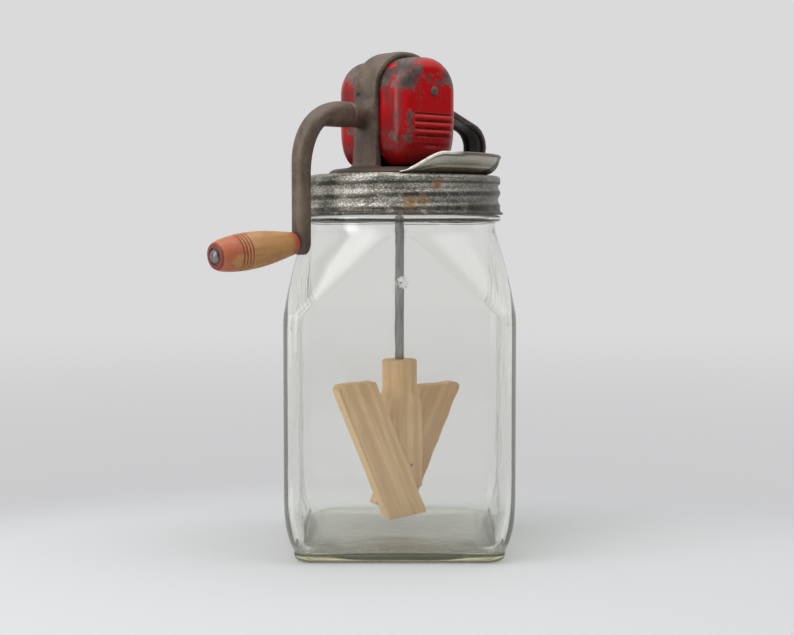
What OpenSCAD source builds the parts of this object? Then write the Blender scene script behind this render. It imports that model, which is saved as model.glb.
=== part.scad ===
// Glass jar butter churn: square jar, screw lid, geared hand crank and wooden dasher.
// Millimetres. The origin is the middle of the jar's underside and +Z is up.
// The crank shaft lies along X, with the crank on the -X side.

/* [Jar] */
// Width of the jar across its flat sides
jar_w = 151; // [142:1:156]
// Radius of the upright corners
jar_corner_r = 10; // [8:1:20]
// Height of the jar up to the rim of its mouth
jar_h = 251; // [240:1:262]
// Thickness of the glass walls
jar_wall = 4.6; // [3.6:0.1:5.4]
// Thickness of the glass floor along its sides
floor_t = 14; // [11:0.5:14.5]
// Width of the foot on the table
foot_w = 131; // [122:1:134]
// Height of the foot band
foot_h = 6; // [5:0.5:10]
// Height of the curve from the foot to the straight sides
heel_h = 42; // [30:1:50]
// Height of the curve from the straight sides to the neck
shoulder_h = 62; // [54:1:70]
// Height of the round neck
neck_h = 34; // [33:1:38]
// Radius of the neck under the screw thread
neck_r = 66.2; // [64:0.2:67]
// How far the jar is turned under the crank
jar_turn = -42; // [-80:1:0]

/* [Screw lid] */
// Rise of the screw thread in one turn
thread_pitch = 9; // [8:0.1:10]
// Depth of the rolled thread
thread_depth = 1.5; // [1:0.1:1.8]
// Clearance between the glass thread and the tin thread
thread_gap = 0.6; // [0.5:0.05:0.9]
// Thickness of the tin
lid_t = 0.8; // [0.6:0.05:1]
// Height of the skirt of the lid
skirt_h = 26.3; // [24:0.1:27]
// How far the rim stands out past the thread
rim_flare = 1.9; // [1:0.1:2.6]
// Thickness of the rubber sealing ring
gasket_t = 2; // [1.5:0.1:2.6]
// Height of the raised middle of the lid
lid_step = 1; // [0.8:0.1:1.5]
// Diameter of the strainer holes behind the pouring lip
strainer_d = 4.5; // [3:0.1:5]
// Number of strainer holes
strainer_count = 9; // [5:1:11]

/* [Pouring lip] */
// Height of the pouring lip over the lid
lip_h = 14; // [10:0.5:16]
// How far the pouring lip flares outward
lip_reach = 10.2; // [7:0.2:11]
// Angle that the pouring lip covers
lip_span = 118; // [90:1:122]
// Direction of the middle of the pouring lip
lip_turn = -73; // [-90:1:-70]

/* [Gear frame] */
// Diameter of the foot flange
flange_d = 98; // [92:1:99]
// Thickness of the foot flange
flange_t = 4.6; // [3.6:0.1:4.8]
// Width of the arch across its legs
frame_w = 60; // [59:0.5:66]
// Height of the arch over the lid
frame_h = 83; // [80:1:90]
// Depth of the arch from front to back
frame_d = 24; // [20:0.5:27]
// Radius of the upper corners of the arch
frame_corner_r = 28; // [22:0.5:29]
// Thickness of the arch
band_t = 5.5; // [4.5:0.1:6.2]
// How far the arch stands towards the crank
arch_shift = 2.5; // [0:0.5:3]
// Height of the crank shaft over the lid
shaft_h = 39; // [38.6:0.2:42]
// Diameter of the crank bearing
boss_d = 17; // [15:0.5:19]
// How far the crank bearing stands out of the arch
boss_len = 14.5; // [10:0.5:16]

/* [Loop handle] */
// Distance from the rod to the outside of the loop
loop_reach = 75; // [70:0.5:80]
// Radius of the bend at the end of the loop
loop_r = 17; // [15:0.5:19]
// Slope of the upper arm of the loop
loop_slope = 22; // [16:1:28]
// Width of the loop
loop_w = 20; // [16:0.5:22]
// Thickness of the loop
loop_t = 4.5; // [4:0.1:6]

/* [Gear covers] */
// How far the covers stand in from the edge of the arch
cover_inset = 3.9; // [2:0.1:4.4]
// Depth of each cover
cover_depth = 22.5; // [20:0.5:26]
// Thickness of the sheet of the covers
cover_t = 1.2; // [0.8:0.1:1.6]
// Height of the bolt that holds the covers, over the crank shaft
bolt_rise = 16; // [13:0.5:17]
// Diameter of the cover bolt
bolt_d = 4; // [3:0.1:5]

/* [Gears] */
// Size of the gear teeth, as their module
gear_module = 1.5; // [1.35:0.05:1.5]
// Teeth on the drive gear
gear_teeth = 36; // [33:3:36]
// Teeth on the pinion
pinion_teeth = 12; // [11:1:12]
// Width of the teeth along the cone
tooth_face = 9; // [6:0.5:9]
// Play taken off each tooth
backlash = 0.18; // [0.12:0.02:0.26]

/* [Crank] */
// Diameter of the crank shaft
shaft_d = 9.5; // [8:0.1:10]
// Clear space between the sides of the jar and the middle of the crank arm
arm_gap = 10.5; // [10:0.5:14]
// Distance from the crank shaft to the grip
crank_throw = 84; // [76:1:86]
// Radius of the bend of the crank arm
arm_bend_r = 33; // [28:1:36]
// Thickness of the lower crank arm
arm_t = 11; // [9:0.5:12]
// Width of the lower crank arm
arm_w = 12.6; // [11:0.2:14]
// Droop of the grip
grip_droop = 7.2; // [0:0.2:9]

/* [Grip] */
// Length of the wooden grip
grip_len = 63; // [52:1:76]
// Diameter of the grip where it is thickest
grip_d = 24; // [20:0.5:26]
// Diameter at the inner end of the grip
grip_root_d = 14.6; // [13:0.2:17]
// Diameter at the outer end of the grip
grip_end_d = 17.4; // [15.4:0.1:19]
// Diameter of the grip pin
grip_pin_d = 6; // [5:0.1:7]

/* [Dasher] */
// Diameter of the dasher rod
rod_d = 6.2; // [5:0.1:7]
// Height of the underside of the dasher hub over the table
hub_z = 40; // [36:1:46]
// Height of the flat-sided part of the hub
hub_block_h = 65; // [62:1:80]
// Height of the round neck of the hub
hub_neck_h = 23; // [16:1:30]
// Width of the hub
hub_w = 24.6; // [22:0.2:28]
// Length of the front paddle
front_len = 100; // [90:1:102]
// Length of the rear paddle
rear_len = 94; // [84:1:97]
// Width of each paddle
paddle_w = 27; // [25:0.5:29]
// Thickness of each paddle
paddle_t = 12; // [10:0.5:12.5]
// Lean of the front paddle from upright
front_lean = 22.5; // [20:0.1:24]
// Sideways place of the middle of the front paddle
front_side = 23.2; // [21:0.1:24]
// Lean of the rear paddle from upright
rear_lean = 24; // [21:0.1:26]
// Sideways place of the middle of the rear paddle
rear_side = 20; // [18:0.1:21]
// Direction that the front paddle faces
dasher_turn = -18; // [-90:1:90]

/* [Clearances] */
// Radial clearance of a turning fit
run_gap = 0.06; // [0.04:0.01:0.1]
// Radial clearance of a fixed pin or shaft
fixed_gap = 0.02; // [0.01:0.01:0.05]
// Clearance between turning end faces
face_gap = 0.3; // [0.2:0.05:0.4]

/* [Hidden] */
$fn = 72;

// Levels, from the table upward
neck_z = jar_h - neck_h;
shoulder_z = neck_z - shoulder_h;
lid_seat_z = jar_h + gasket_t;
gasket_gap = 0.03;
lid_rim_z = lid_seat_z + lid_t;
lid_bottom_z = lid_rim_z - skirt_h;
frame_z = lid_rim_z + lid_step;
shaft_z = frame_z + shaft_h;
grip_z = shaft_z - crank_throw;

// Jar
quarter_points = 12;
foot_flare = 4;
collar_r = neck_r - 0.4;
bead_r = neck_r + 3.4;
bead_h = 2;
bead_drop = 0.9;
mouth_r = neck_r - jar_wall;
thread_z = jar_h - 7.55;
thread_fade = 2.5;
thread_low_z = lid_bottom_z + 0.6;
thread_top_z = jar_h - 2;
thread_rows = 15;
floor_bulge = 0.5;

// Screw lid
lid_points = 48;
lid_valley_r = neck_r + thread_gap;
lid_crest_r = lid_valley_r + thread_depth;
rim_r = lid_crest_r + lid_t + rim_flare;
lid_rows = 12;
lid_disc_r = neck_r - 7.5;
spigot_r = 7.5;
spigot_h = 7;
spigot_gap = 0.2;

// Pouring lip and the strainer holes behind it
lip_tab = 2;
lip_foot_r = lid_disc_r - 0.2;
strainer_r = (flange_d / 2 + lip_foot_r - lip_tab) / 2;
strainer_step = 11;
lip_end = 26;
lip_rings = 27;
lip_steps = 6;

// Gear frame
arch_x = -arch_shift;
arch_left_x = arch_x - frame_w / 2;
arch_right_x = arch_x + frame_w / 2;
boss_end_x = arch_left_x - boss_len;
boss_in = 1.5;
boss_root = 5;
boss_in_x = arch_left_x + band_t + boss_in;
far_boss_in_x = arch_right_x - band_t - 3;
far_boss_out_x = arch_right_x + 3.5;
far_bore_x = far_boss_out_x - 1.5;
leg_fillet = 4;
rod_boss_r = 8;
washer_t = 1;
washer_gap = 0.1;
loop_lift = 4;
loop_channel = 1.4;
loop_flange = 4;
flange_slope = 13;
frame_screw_d = 3;
frame_screw_r = 40;
frame_screw_depth = flange_t - 0.8;
screw_head_d = 6.4;
screw_head_h = 2;

// Gear covers
cover_half_w = frame_w / 2 - cover_inset;
cover_top = frame_h - cover_inset - 1;
cover_bottom = flange_t + 1;
cover_top_r = frame_corner_r - cover_inset - 1;
cover_low_w = 12;
cover_low_h = 16;
cover_low_h_max = 26;
cover_low_share = 1.4;
cover_round_in = 9;
cover_round_out = 10;
cover_corner_points = 7;
rib_count = 3;
rib_pitch = 4.9;
rib_r = 1.5;
rib_proud = 0.9;
rib_low = 27.45;
rib_half_len = 15;
rib_shift = 1.5;
bolt_z = shaft_z + bolt_rise;
bolt_head_d = bolt_d + 2.4;
bolt_head_h = 1.7;
nut_h = 2.6;
cover_face_y = frame_d / 2 + cover_depth;

// Bevel gears, whose cones meet where the shaft crosses the rod
pressure_angle = 20;
gear_pitch_r = gear_module * gear_teeth / 2;
pinion_pitch_r = gear_module * pinion_teeth / 2;
gear_cone = atan(gear_pitch_r / pinion_pitch_r);
cone_len = norm([gear_pitch_r, pinion_pitch_r]);
long_addendum = 1.3 * gear_module;
short_addendum = 0.7 * gear_module;
tooth_bottom_gap = 0.3 * gear_module;
tooth_shift = 0.3;
gear_hub_d = 22;
gear_back = 5.5;
pinion_back = 5;
pinion_rim = 2.2;
pinion_hub_d = 13;
drive_pin_d = 3;
pinion_pin_d = 2;
gear_hub_end = -(boss_in_x + face_gap);
rod_top_z = shaft_z - shaft_d / 2 - 9;

// Crank
arm_x = -(jar_w / 2 + arm_gap);
arm_start_x = boss_end_x - face_gap;
arm_socket = 14;
arm_root_half = 8.5;
arm_end_r = 8.5;
arm_points = 16;
arm_bend_rings = 9;
arm_inner_run = 14;
arm_inner_drop = 32;
arm_square = 0.8;
grip_start = arm_t / 2 + 0.8;
grip_end = grip_start + grip_len;
grip_peak = 0.62;
grip_recess_d = 11;
grip_recess = 1.8;
grip_washer_t = 0.8;
grip_head_d = 9.2;
grip_head_h = 3;
groove_count = 4;
groove_first = 15.1;
groove_pitch = 2.3;
groove_depth = 0.5;

// Dasher
hub_top_z = hub_z + hub_block_h + hub_neck_h;
rod_end_z = hub_z + 29;
hub_pin_d = 2.4;
hub_pin_z = hub_top_z - hub_neck_h / 2;
hub_corner = 2.5;
front_rise = 28.8;
rear_rise = 25.3;
front_cut = 19.6;
rear_cut = 27;
low_cut = 14.4;
paddle_round = 8;
paddle_edge = 2;
paddle_bevel = 1.2;
nail_d = 2;
nail_bite = 7;
front_nails = [[8, 14], [4, 5]];
rear_nails = [[3.5, 16], [-1, 4]];

glass_c = [0.78, 0.84, 0.82, 0.45];
tin_c = [0.55, 0.54, 0.5];
rubber_c = [0.2, 0.19, 0.18];
iron_c = [0.34, 0.3, 0.28];
red_c = [0.7, 0.05, 0.06];
steel_c = [0.62, 0.62, 0.63];
wood_c = [0.72, 0.55, 0.34];
maple_c = [0.78, 0.64, 0.45];

function lerp(a, b, s) = a + (b - a) * s;
function flat(lists) = [for (one = lists) each one];
function fade(z, low, top, run) = min(1, max(0, min(z - low, top - z) / run));
function thread_wave(z, az) = 0.5 + 0.5 * cos(360 * (z - thread_z) / thread_pitch - az);

// Faces between neighbouring rings of points
function tube_faces(rings, n, closed = false) = [
    for (j = [0 : rings - (closed ? 1 : 2)], i = [0 : n - 1])
        let (
            a = j * n + i,
            b = j * n + (i + 1) % n,
            c = ((j + 1) % rings) * n + (i + 1) % n,
            d = ((j + 1) % rings) * n + i
        )
        each [[a, d, c], [a, c, b]]
];
function first_cap(n) = [for (i = [0 : n - 1]) i];
function last_cap(rings, n) = [for (i = [n - 1 : -1 : 0]) (rings - 1) * n + i];

// A closed tube through rings of points, with flat ends
module tube(rings) {
    count = len(rings);
    n = len(rings[0]);
    polyhedron(
        points = flat(rings),
        faces = concat([first_cap(n)], tube_faces(count, n), [last_cap(count, n)]),
        convexity = 8
    );
}

// A ring around the axis that is closed on itself in both directions
module closed_loop(rings) {
    polyhedron(
        points = flat(rings),
        faces = tube_faces(len(rings), len(rings[0]), true),
        convexity = 8
    );
}

module along_x() { rotate([0, 90, 0]) children(); }
module along_y() { rotate([-90, 0, 0]) children(); }

// Domed head on a flat underside, standing on z = 0
module dome(d, h) {
    ball_r = (d * d / 4 + h * h) / (2 * h);
    rotate_extrude()
        intersection() {
            translate([0, h - ball_r]) circle(ball_r);
            square([d / 2, h]);
        }
}

// Jar

// Cross-section of the jar: a square with rounded corners, up to a full circle
function jar_ring(half, corner, z) = [
    for (q = [0 : 3], i = [0 : quarter_points - 1])
        let (
            a = 90 * q + (i + 0.5) * 90 / quarter_points,
            sx = (q == 0 || q == 3) ? 1 : -1,
            sy = q < 2 ? 1 : -1
        )
        [sx * (half - corner) + corner * cos(a), sy * (half - corner) + corner * sin(a), z]
];

function neck_ring(z) = [
    for (i = [0 : 4 * quarter_points - 1])
        let (
            a = (i + 0.5) * 90 / quarter_points,
            w = fade(z, thread_low_z, thread_top_z, thread_fade),
            r = neck_r + thread_depth * w * thread_wave(z, a + jar_turn)
        )
        [r * cos(a), r * sin(a), z]
];

function shoulder_half(s, neck, side) = neck + (side - neck) * (1 - pow(s, 1.6));
function shoulder_corner(s, half, corner) = lerp(corner, half, max(0, (s - 0.12) / 0.88));
function heel_half(s, low, side) = lerp(low, side, 1 - pow(1 - s, 3));

shoulder_steps = [0.14, 0.28, 0.42, 0.55, 0.67, 0.78, 0.88, 0.95, 1];
heel_steps = [0.08, 0.2, 0.36, 0.55, 0.78, 1];
foot_half = foot_w / 2;
foot_top = foot_half + foot_flare;
side_half = jar_w / 2;
inner_half = side_half - jar_wall;
inner_corner = jar_corner_r - jar_wall / 2;
inner_foot = foot_top - 5;
inner_heel_h = heel_h - 8;

// The floor is level in the middle and falls away into the four corners
function floor_reach(p) = min(1.75, (p[0] * p[0] + p[1] * p[1]) / pow(inner_foot, 2));
function floor_rise(p) = floor_bulge * (1 - pow(floor_reach(p), 5));
function floor_ring(half, corner, z, share) = [
    for (p = jar_ring(half, corner, z)) [p[0], p[1], z + share * floor_rise(p)]
];

jar_outside = concat(
    [
        jar_ring(foot_half, jar_corner_r, 0),
        jar_ring(foot_half + 1, jar_corner_r, 1.2),
        jar_ring(foot_top - 0.4, jar_corner_r, foot_h - 1.4),
        jar_ring(foot_top, jar_corner_r, foot_h),
        jar_ring(foot_top - 0.5, jar_corner_r, foot_h + 0.8)
    ],
    [
        for (s = heel_steps)
            jar_ring(heel_half(s, foot_top - 0.5, side_half), jar_corner_r, foot_h + 0.8 + s * heel_h)
    ],
    [jar_ring(side_half, jar_corner_r, shoulder_z)],
    [
        for (s = shoulder_steps)
            let (half = shoulder_half(s, collar_r, side_half))
            jar_ring(half, shoulder_corner(s, half, jar_corner_r), shoulder_z + s * shoulder_h)
    ],
    [
        jar_ring(collar_r, collar_r, lid_bottom_z - bead_drop - bead_h - 2),
        jar_ring(bead_r, bead_r, lid_bottom_z - bead_drop - bead_h),
        jar_ring(bead_r, bead_r, lid_bottom_z - bead_drop),
        jar_ring(neck_r, neck_r, lid_bottom_z)
    ]
);
jar_thread = [
    for (k = [0 : thread_rows])
        neck_ring(lerp(thread_low_z, thread_top_z, k / thread_rows))
];
jar_inside = concat(
    [
        jar_ring(neck_r - 0.5, neck_r - 0.5, jar_h - 0.6),
        jar_ring(neck_r - 1.2, neck_r - 1.2, jar_h),
        jar_ring(mouth_r + 0.8, mouth_r + 0.8, jar_h),
        jar_ring(mouth_r, mouth_r, jar_h - 1),
        jar_ring(mouth_r, mouth_r, neck_z + 3)
    ],
    [
        for (k = [len(shoulder_steps) - 2 : -1 : 0])
            let (
                s = shoulder_steps[k],
                half = shoulder_half(s, mouth_r, inner_half)
            )
            jar_ring(half, shoulder_corner(s, half, inner_corner), shoulder_z + s * shoulder_h - 1)
    ],
    [jar_ring(inner_half, inner_corner, shoulder_z - 1)],
    [
        for (k = [len(heel_steps) - 1 : -1 : 0])
            let (s = heel_steps[k])
            floor_ring(
                heel_half(s, inner_foot, inner_half),
                inner_corner,
                floor_t + 1 + s * inner_heel_h,
                pow(1 - s, 2)
            )
    ],
    [
        floor_ring(inner_foot - 3, inner_corner, floor_t, 1),
        floor_ring(inner_foot * 0.88, inner_corner * 0.88, floor_t, 1),
        floor_ring(inner_foot * 0.76, inner_corner * 0.76, floor_t, 1),
        floor_ring(inner_foot * 0.4, inner_corner * 0.4, floor_t, 1),
        jar_ring(inner_foot * 0.12, inner_corner * 0.12, floor_t + floor_bulge)
    ]
);

module jar() {
    rings = concat(jar_outside, jar_thread, jar_inside);
    color(glass_c) rotate([0, 0, jar_turn]) tube(rings);
}

// Lid

module lid_gasket() {
    color(rubber_c)
        translate([0, 0, jar_h + gasket_gap])
            rotate_extrude()
                translate([mouth_r + 0.4, 0]) square([jar_wall - 1, gasket_t - 2 * gasket_gap]);
}

function lid_ring(z, r) = [
    for (i = [0 : lid_points - 1])
        let (a = 360 * i / lid_points) [r * cos(a), r * sin(a), z]
];

lid_thread_low = lid_bottom_z + 3.4;
lid_thread_top = lid_rim_z - 4.4;

function lid_thread_ring(z, skin) = [
    for (i = [0 : lid_points - 1])
        let (
            a = 360 * i / lid_points,
            w = fade(z, lid_thread_low, lid_thread_top, thread_fade),
            r = lid_crest_r + skin - thread_depth * w * (1 - thread_wave(z, a))
        )
        [r * cos(a), r * sin(a), z]
];

// Tin skirt with its rolled screw thread, from the rim up the outside and back down the inside
module lid_skirt() {
    out_r = lid_crest_r + lid_t;
    closed_loop(concat(
        [
            lid_ring(lid_bottom_z, rim_r - 0.3),
            lid_ring(lid_bottom_z + 0.6, rim_r),
            lid_ring(lid_bottom_z + 1.5, rim_r - 0.3),
            lid_ring(lid_bottom_z + 2.5, out_r + 0.2)
        ],
        [for (k = [0 : lid_rows]) lid_thread_ring(lerp(lid_thread_low, lid_thread_top, k / lid_rows), lid_t)],
        [
            lid_ring(lid_rim_z - 2.2, out_r),
            lid_ring(lid_rim_z - 0.9, out_r - 0.6),
            lid_ring(lid_rim_z - 0.2, out_r - 1.8),
            lid_ring(lid_rim_z, out_r - 3.2),
            lid_ring(lid_rim_z, lid_disc_r - lid_t / 2),
            lid_ring(lid_seat_z, lid_disc_r - lid_t / 2),
            lid_ring(lid_seat_z, lid_crest_r - 2.6),
            lid_ring(lid_seat_z - 0.6, lid_crest_r - 1),
            lid_ring(lid_seat_z - 1.6, lid_crest_r)
        ],
        [
            for (k = [lid_rows : -1 : 0])
                lid_thread_ring(lerp(lid_thread_low, lid_thread_top, k / lid_rows), 0)
        ],
        [
            lid_ring(lid_bottom_z + 2.2, lid_crest_r + 0.3),
            lid_ring(lid_bottom_z, rim_r - 1.3)
        ]
    ));
}

// Raised middle of the lid, with its turned-down edge
module lid_disc() {
    top = frame_z;
    hole_r = spigot_r + spigot_gap;
    rotate_extrude()
        polygon([
            [hole_r, top],
            [lid_disc_r, top],
            [lid_disc_r, lid_seat_z - 0.3],
            [lid_disc_r - lid_t, lid_seat_z - 0.3],
            [lid_disc_r - lid_t, top - lid_t],
            [hole_r, top - lid_t]
        ]);
}

module at_frame_screws() {
    for (a = [45 : 90 : 315])
        rotate([0, 0, a]) translate([frame_screw_r, 0, 0]) children();
}

module strainer_holes() {
    for (k = [0 : strainer_count - 1])
        rotate([0, 0, lip_turn + (k - (strainer_count - 1) / 2) * strainer_step])
            translate([strainer_r, 0, frame_z - 3 * lid_t]) cylinder(d = strainer_d, h = 6 * lid_t);
}

module screw_lid() {
    color(tin_c)
        union() {
            lid_skirt();
            difference() {
                lid_disc();
                strainer_holes();
                translate([0, 0, frame_z - 3 * lid_t])
                    at_frame_screws() cylinder(d = frame_screw_d + 2 * fixed_gap, h = 6 * lid_t);
            }
        }
}

// Section of the pouring lip: a flat tab, then a bowl-shaped flare that ends early near the tips
function lip_section(rise) = let (
        last = acos(1 - rise),
        out = [
            for (k = [0 : lip_steps])
                let (u = last * k / lip_steps)
                [lip_foot_r + lip_reach * sin(u), lip_h * (1 - cos(u))]
        ],
        inside = [
            for (k = [0 : lip_steps])
                let (u = last * k / lip_steps)
                [lip_foot_r + lip_reach * sin(u) - lid_t * sin(u), lip_h * (1 - cos(u)) + lid_t * cos(u)]
        ]
    )
    concat(
        [[lip_foot_r - lip_tab, 0], [lip_foot_r - lip_tab, lid_t]],
        inside,
        [for (k = [lip_steps : -1 : 0]) out[k]]
    );

function lip_rise(a) = let (s = fade(a, 0, lip_span, lip_end)) lerp(0.03, 1, s * s * (3 - 2 * s));

module pour_lip() {
    rings = [
        for (k = [0 : lip_rings - 1])
            let (
                a = lip_span * k / (lip_rings - 1),
                az = lip_turn - lip_span / 2 + a
            )
            [for (p = lip_section(lip_rise(a))) [p[0] * cos(az), p[0] * sin(az), frame_z + p[1]]]
    ];
    color(tin_c) tube(rings);
}

// Gear frame

// Outline of the arch, square at the foot and rounded at the top
module arch_outline(half, height, corner) {
    translate([-half, 0]) square([2 * half, height - corner]);
    translate([corner - half, 0]) square([2 * (half - corner), height]);
    for (side = [-1, 1])
        translate([side * (half - corner), height - corner]) circle(corner);
}

module leg_fillets() {
    for (side = [-1, 1])
        translate([side * frame_w / 2, flange_t])
            difference() {
                translate([side > 0 ? -1 : -leg_fillet, -1]) square([leg_fillet + 1, leg_fillet + 1]);
                translate([side * leg_fillet, leg_fillet]) circle(leg_fillet);
            }
}

module arch() {
    translate([arch_x, 0, 0])
        rotate([90, 0, 0])
            linear_extrude(frame_d, center = true)
                difference() {
                    union() {
                        arch_outline(frame_w / 2, frame_h, frame_corner_r);
                        leg_fillets();
                    }
                    translate([0, flange_t])
                        arch_outline(
                            frame_w / 2 - band_t,
                            frame_h - band_t - flange_t,
                            frame_corner_r - band_t
                        );
                }
}

// Side view of the loop, filled in, shrunk evenly by a wall
module loop_outline(shrink) {
    r = loop_r - shrink;
    mid = [loop_reach - loop_r, loop_lift + loop_r];
    top = mid + r * [sin(loop_slope), cos(loop_slope)];
    root_x = arch_right_x - 1;
    polygon([
        [root_x, mid[1] - r],
        [mid[0], mid[1] - r],
        mid,
        top,
        [root_x, top[1] + (top[0] - root_x) * tan(loop_slope)]
    ]);
    translate(mid) circle(r);
}

module loop_handle() {
    difference() {
        rotate([90, 0, 0])
            linear_extrude(loop_w, center = true)
                difference() {
                    loop_outline(0);
                    loop_outline(loop_t);
                }
        intersection() {
            rotate([90, 0, 0])
                linear_extrude(loop_w - 2 * loop_flange, center = true)
                    loop_outline(loop_t - loop_channel);
            translate([arch_right_x + 8, -loop_w, loop_lift + loop_t + 2])
                cube([loop_reach, 2 * loop_w, frame_h]);
        }
    }
}

module flange() {
    rotate_extrude()
        polygon([
            [0, 0],
            [flange_d / 2, 0],
            [flange_d / 2, flange_t * 0.2],
            [flange_d / 2 - flange_t * 0.3, flange_t * 0.5],
            [flange_d / 2 - flange_t * 0.75, flange_t * 0.76],
            [flange_d / 2 - flange_slope, flange_t],
            [0, flange_t]
        ]);
}

washer_z = shaft_z - gear_pitch_r - pinion_back - washer_gap - washer_t;

module gear_frame() {
    color(iron_c)
        difference() {
            union() {
                translate([0, 0, frame_z]) {
                    flange();
                    arch();
                    loop_handle();
                    translate([0, 0, -spigot_h]) cylinder(r = spigot_r, h = spigot_h + flange_t);
                }
                translate([0, 0, frame_z]) cylinder(r = rod_boss_r, h = washer_z - frame_z);
                translate([boss_end_x, 0, shaft_z])
                    along_x() cylinder(d = boss_d, h = boss_in_x - boss_end_x);
                translate([arch_left_x - boss_root, 0, shaft_z])
                    along_x() cylinder(d1 = boss_d, d2 = boss_d + 4, h = boss_root + band_t / 2);
                translate([far_boss_in_x, 0, shaft_z])
                    along_x() cylinder(d = boss_d, h = far_boss_out_x - far_boss_in_x);
            }
            translate([boss_end_x - 1, 0, shaft_z])
                along_x() cylinder(d = shaft_d + 2 * run_gap, h = far_bore_x - boss_end_x + 1);
            translate([0, 0, frame_z - spigot_h - 1])
                cylinder(d = rod_d + 2 * run_gap, h = washer_z - frame_z + spigot_h + 2);
            translate([0, 0, frame_z - 1])
                at_frame_screws() cylinder(d = frame_screw_d + 2 * fixed_gap, h = frame_screw_depth + 1);
        }
}

module frame_screws() {
    color(steel_c)
        translate([0, 0, frame_z])
            at_frame_screws() {
                translate([0, 0, -lid_t]) cylinder(d = frame_screw_d, h = lid_t + frame_screw_depth - 0.2);
                translate([0, 0, -lid_t - screw_head_h]) cylinder(d = screw_head_d, h = screw_head_h);
            }
}

module thrust_washer() {
    color(steel_c)
        translate([0, 0, washer_z])
            difference() {
                cylinder(r = rod_boss_r - 1, h = washer_t);
                translate([0, 0, -1]) cylinder(d = rod_d + 0.6, h = washer_t + 2);
            }
}

// Gear covers

// Outline of a cover at one depth, drawn in from its edge by inset
function cover_ring(inset, y) = let (
        half = cover_half_w - inset,
        top_r = max(3, cover_top_r - inset),
        low_w = cover_low_w + 0.35 * inset,
        low_h = min(cover_low_h_max, cover_low_h + 4 * inset),
        high = cover_top - inset,
        low = cover_bottom + cover_low_share * inset,
        corners = [
            [half - top_r, high - top_r, top_r, top_r, 0],
            [half - low_w, low + low_h, low_w, low_h, 90],
            [low_w - half, low + low_h, low_w, low_h, 180],
            [top_r - half, high - top_r, top_r, top_r, 270]
        ]
    )
    [
        for (c = corners, i = [0 : cover_corner_points - 1])
            let (a = c[4] + 90 * i / (cover_corner_points - 1))
            [c[0] + c[2] * sin(a), y, c[1] + c[3] * cos(a)]
    ];

// Rings of one skin of the cover, from its open edge to its face
function cover_skin(inset, depth) = concat(
    [cover_ring(inset, 0)],
    [
        for (a = [0 : 18 : 90])
            cover_ring(
                inset + cover_round_in * (1 - cos(a)),
                depth - cover_round_out * (1 - sin(a))
            )
    ]
);

function backward(list) = [for (k = [len(list) - 1 : -1 : 0]) list[k]];

// A pressed cover with its open edge on y = 0 and its face towards +Y
module cover_shell() {
    outside = cover_skin(0, cover_depth);
    inside = cover_skin(cover_t, cover_depth - cover_t);
    tube(concat(backward(inside), outside));
}

module cover_ribs() {
    for (k = [0 : rib_count - 1])
        translate([rib_shift, cover_depth - rib_r + rib_proud, rib_low + k * rib_pitch]) {
            translate([-rib_half_len, 0, 0]) along_x() cylinder(r = rib_r, h = 2 * rib_half_len);
            for (side = [-1, 1]) translate([side * rib_half_len, 0, 0]) sphere(rib_r);
        }
}

// The cover with its ribs and the hole for the bolt, on the rear side of the frame
module gear_cover() {
    difference() {
        translate([arch_x, frame_d / 2, frame_z]) {
            cover_shell();
            cover_ribs();
        }
        translate([0, frame_d / 2, bolt_z])
            along_y() cylinder(d = bolt_d + 2 * fixed_gap, h = cover_depth + 5);
    }
}

module rear_gear_cover() { color(red_c) gear_cover(); }

module front_gear_cover() { color(red_c) mirror([0, 1, 0]) gear_cover(); }

module cover_bolt() {
    length = 2 * cover_face_y + nut_h + 0.8;
    color(steel_c)
        translate([0, -cover_face_y, bolt_z]) {
            along_y() cylinder(d = bolt_d, h = length);
            rotate([90, 0, 0]) dome(bolt_head_d, bolt_head_h);
        }
}

module cover_nut() {
    color(steel_c)
        translate([0, cover_face_y, bolt_z])
            along_y()
                difference() {
                    cylinder(d = 1.9 * bolt_d, h = nut_h, $fn = 6);
                    translate([0, 0, -1]) cylinder(d = bolt_d + 2 * fixed_gap, h = nut_h + 2);
                }
}

// Bevel gears

// Involute of a pressure angle, in degrees
function involute(a) = tan(a) * 180 / PI - a;

// Half the angle that a tooth fills at height h over the pitch cone, on the unrolled back cone
function tooth_half(teeth, cone, thick, h) = let (
        flat_r = gear_module * teeth / 2 / cos(cone),
        base_r = flat_r * cos(pressure_angle),
        r = max(base_r, flat_r + h),
        at_pitch = thick / (2 * flat_r) * 180 / PI
    )
    (at_pitch + involute(pressure_angle) - involute(acos(base_r / r))) / cos(cone);

// Outline of all teeth at one end of the teeth, scaled towards the tip of the cone
function tooth_ring(teeth, cone, thick, low, high, share, start) = let (
        pitch_r = gear_module * teeth / 2,
        pitch_z = pitch_r / tan(cone),
        heights = [-low, -0.4 * low, 0.45 * high, high]
    )
    [
        for (i = [0 : teeth - 1], k = [0 : 7])
            let (
                rising = k < 4,
                h = heights[rising ? k : 7 - k],
                half = tooth_half(teeth, cone, thick, h),
                a = start + 360 * i / teeth + (rising ? -half : half),
                r = share * (pitch_r + h * cos(cone))
            )
            [r * cos(a), r * sin(a), share * (pitch_z - h * sin(cone))]
    ];

// Ring with one point for each tooth
function blank_ring(teeth, r, z, start) = [
    for (i = [0 : teeth - 1])
        let (a = start + 360 * i / teeth) [r * cos(a), r * sin(a), z]
];

// Faces that fan from the eight points of each tooth to one point of a plain ring
function fan_faces(teeth, wide, plain, flip) = [
    for (i = [0 : teeth - 1])
        let (
            next = (i + 1) % teeth,
            fan = concat(
                [for (k = [0 : 6]) [wide + 8 * i + k, wide + 8 * i + k + 1, plain + i]],
                [
                    [wide + 8 * i + 7, wide + 8 * next, plain + i],
                    [wide + 8 * next, plain + next, plain + i]
                ]
            )
        )
        each [for (f = fan) flip ? [f[2], f[1], f[0]] : f]
];

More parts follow.
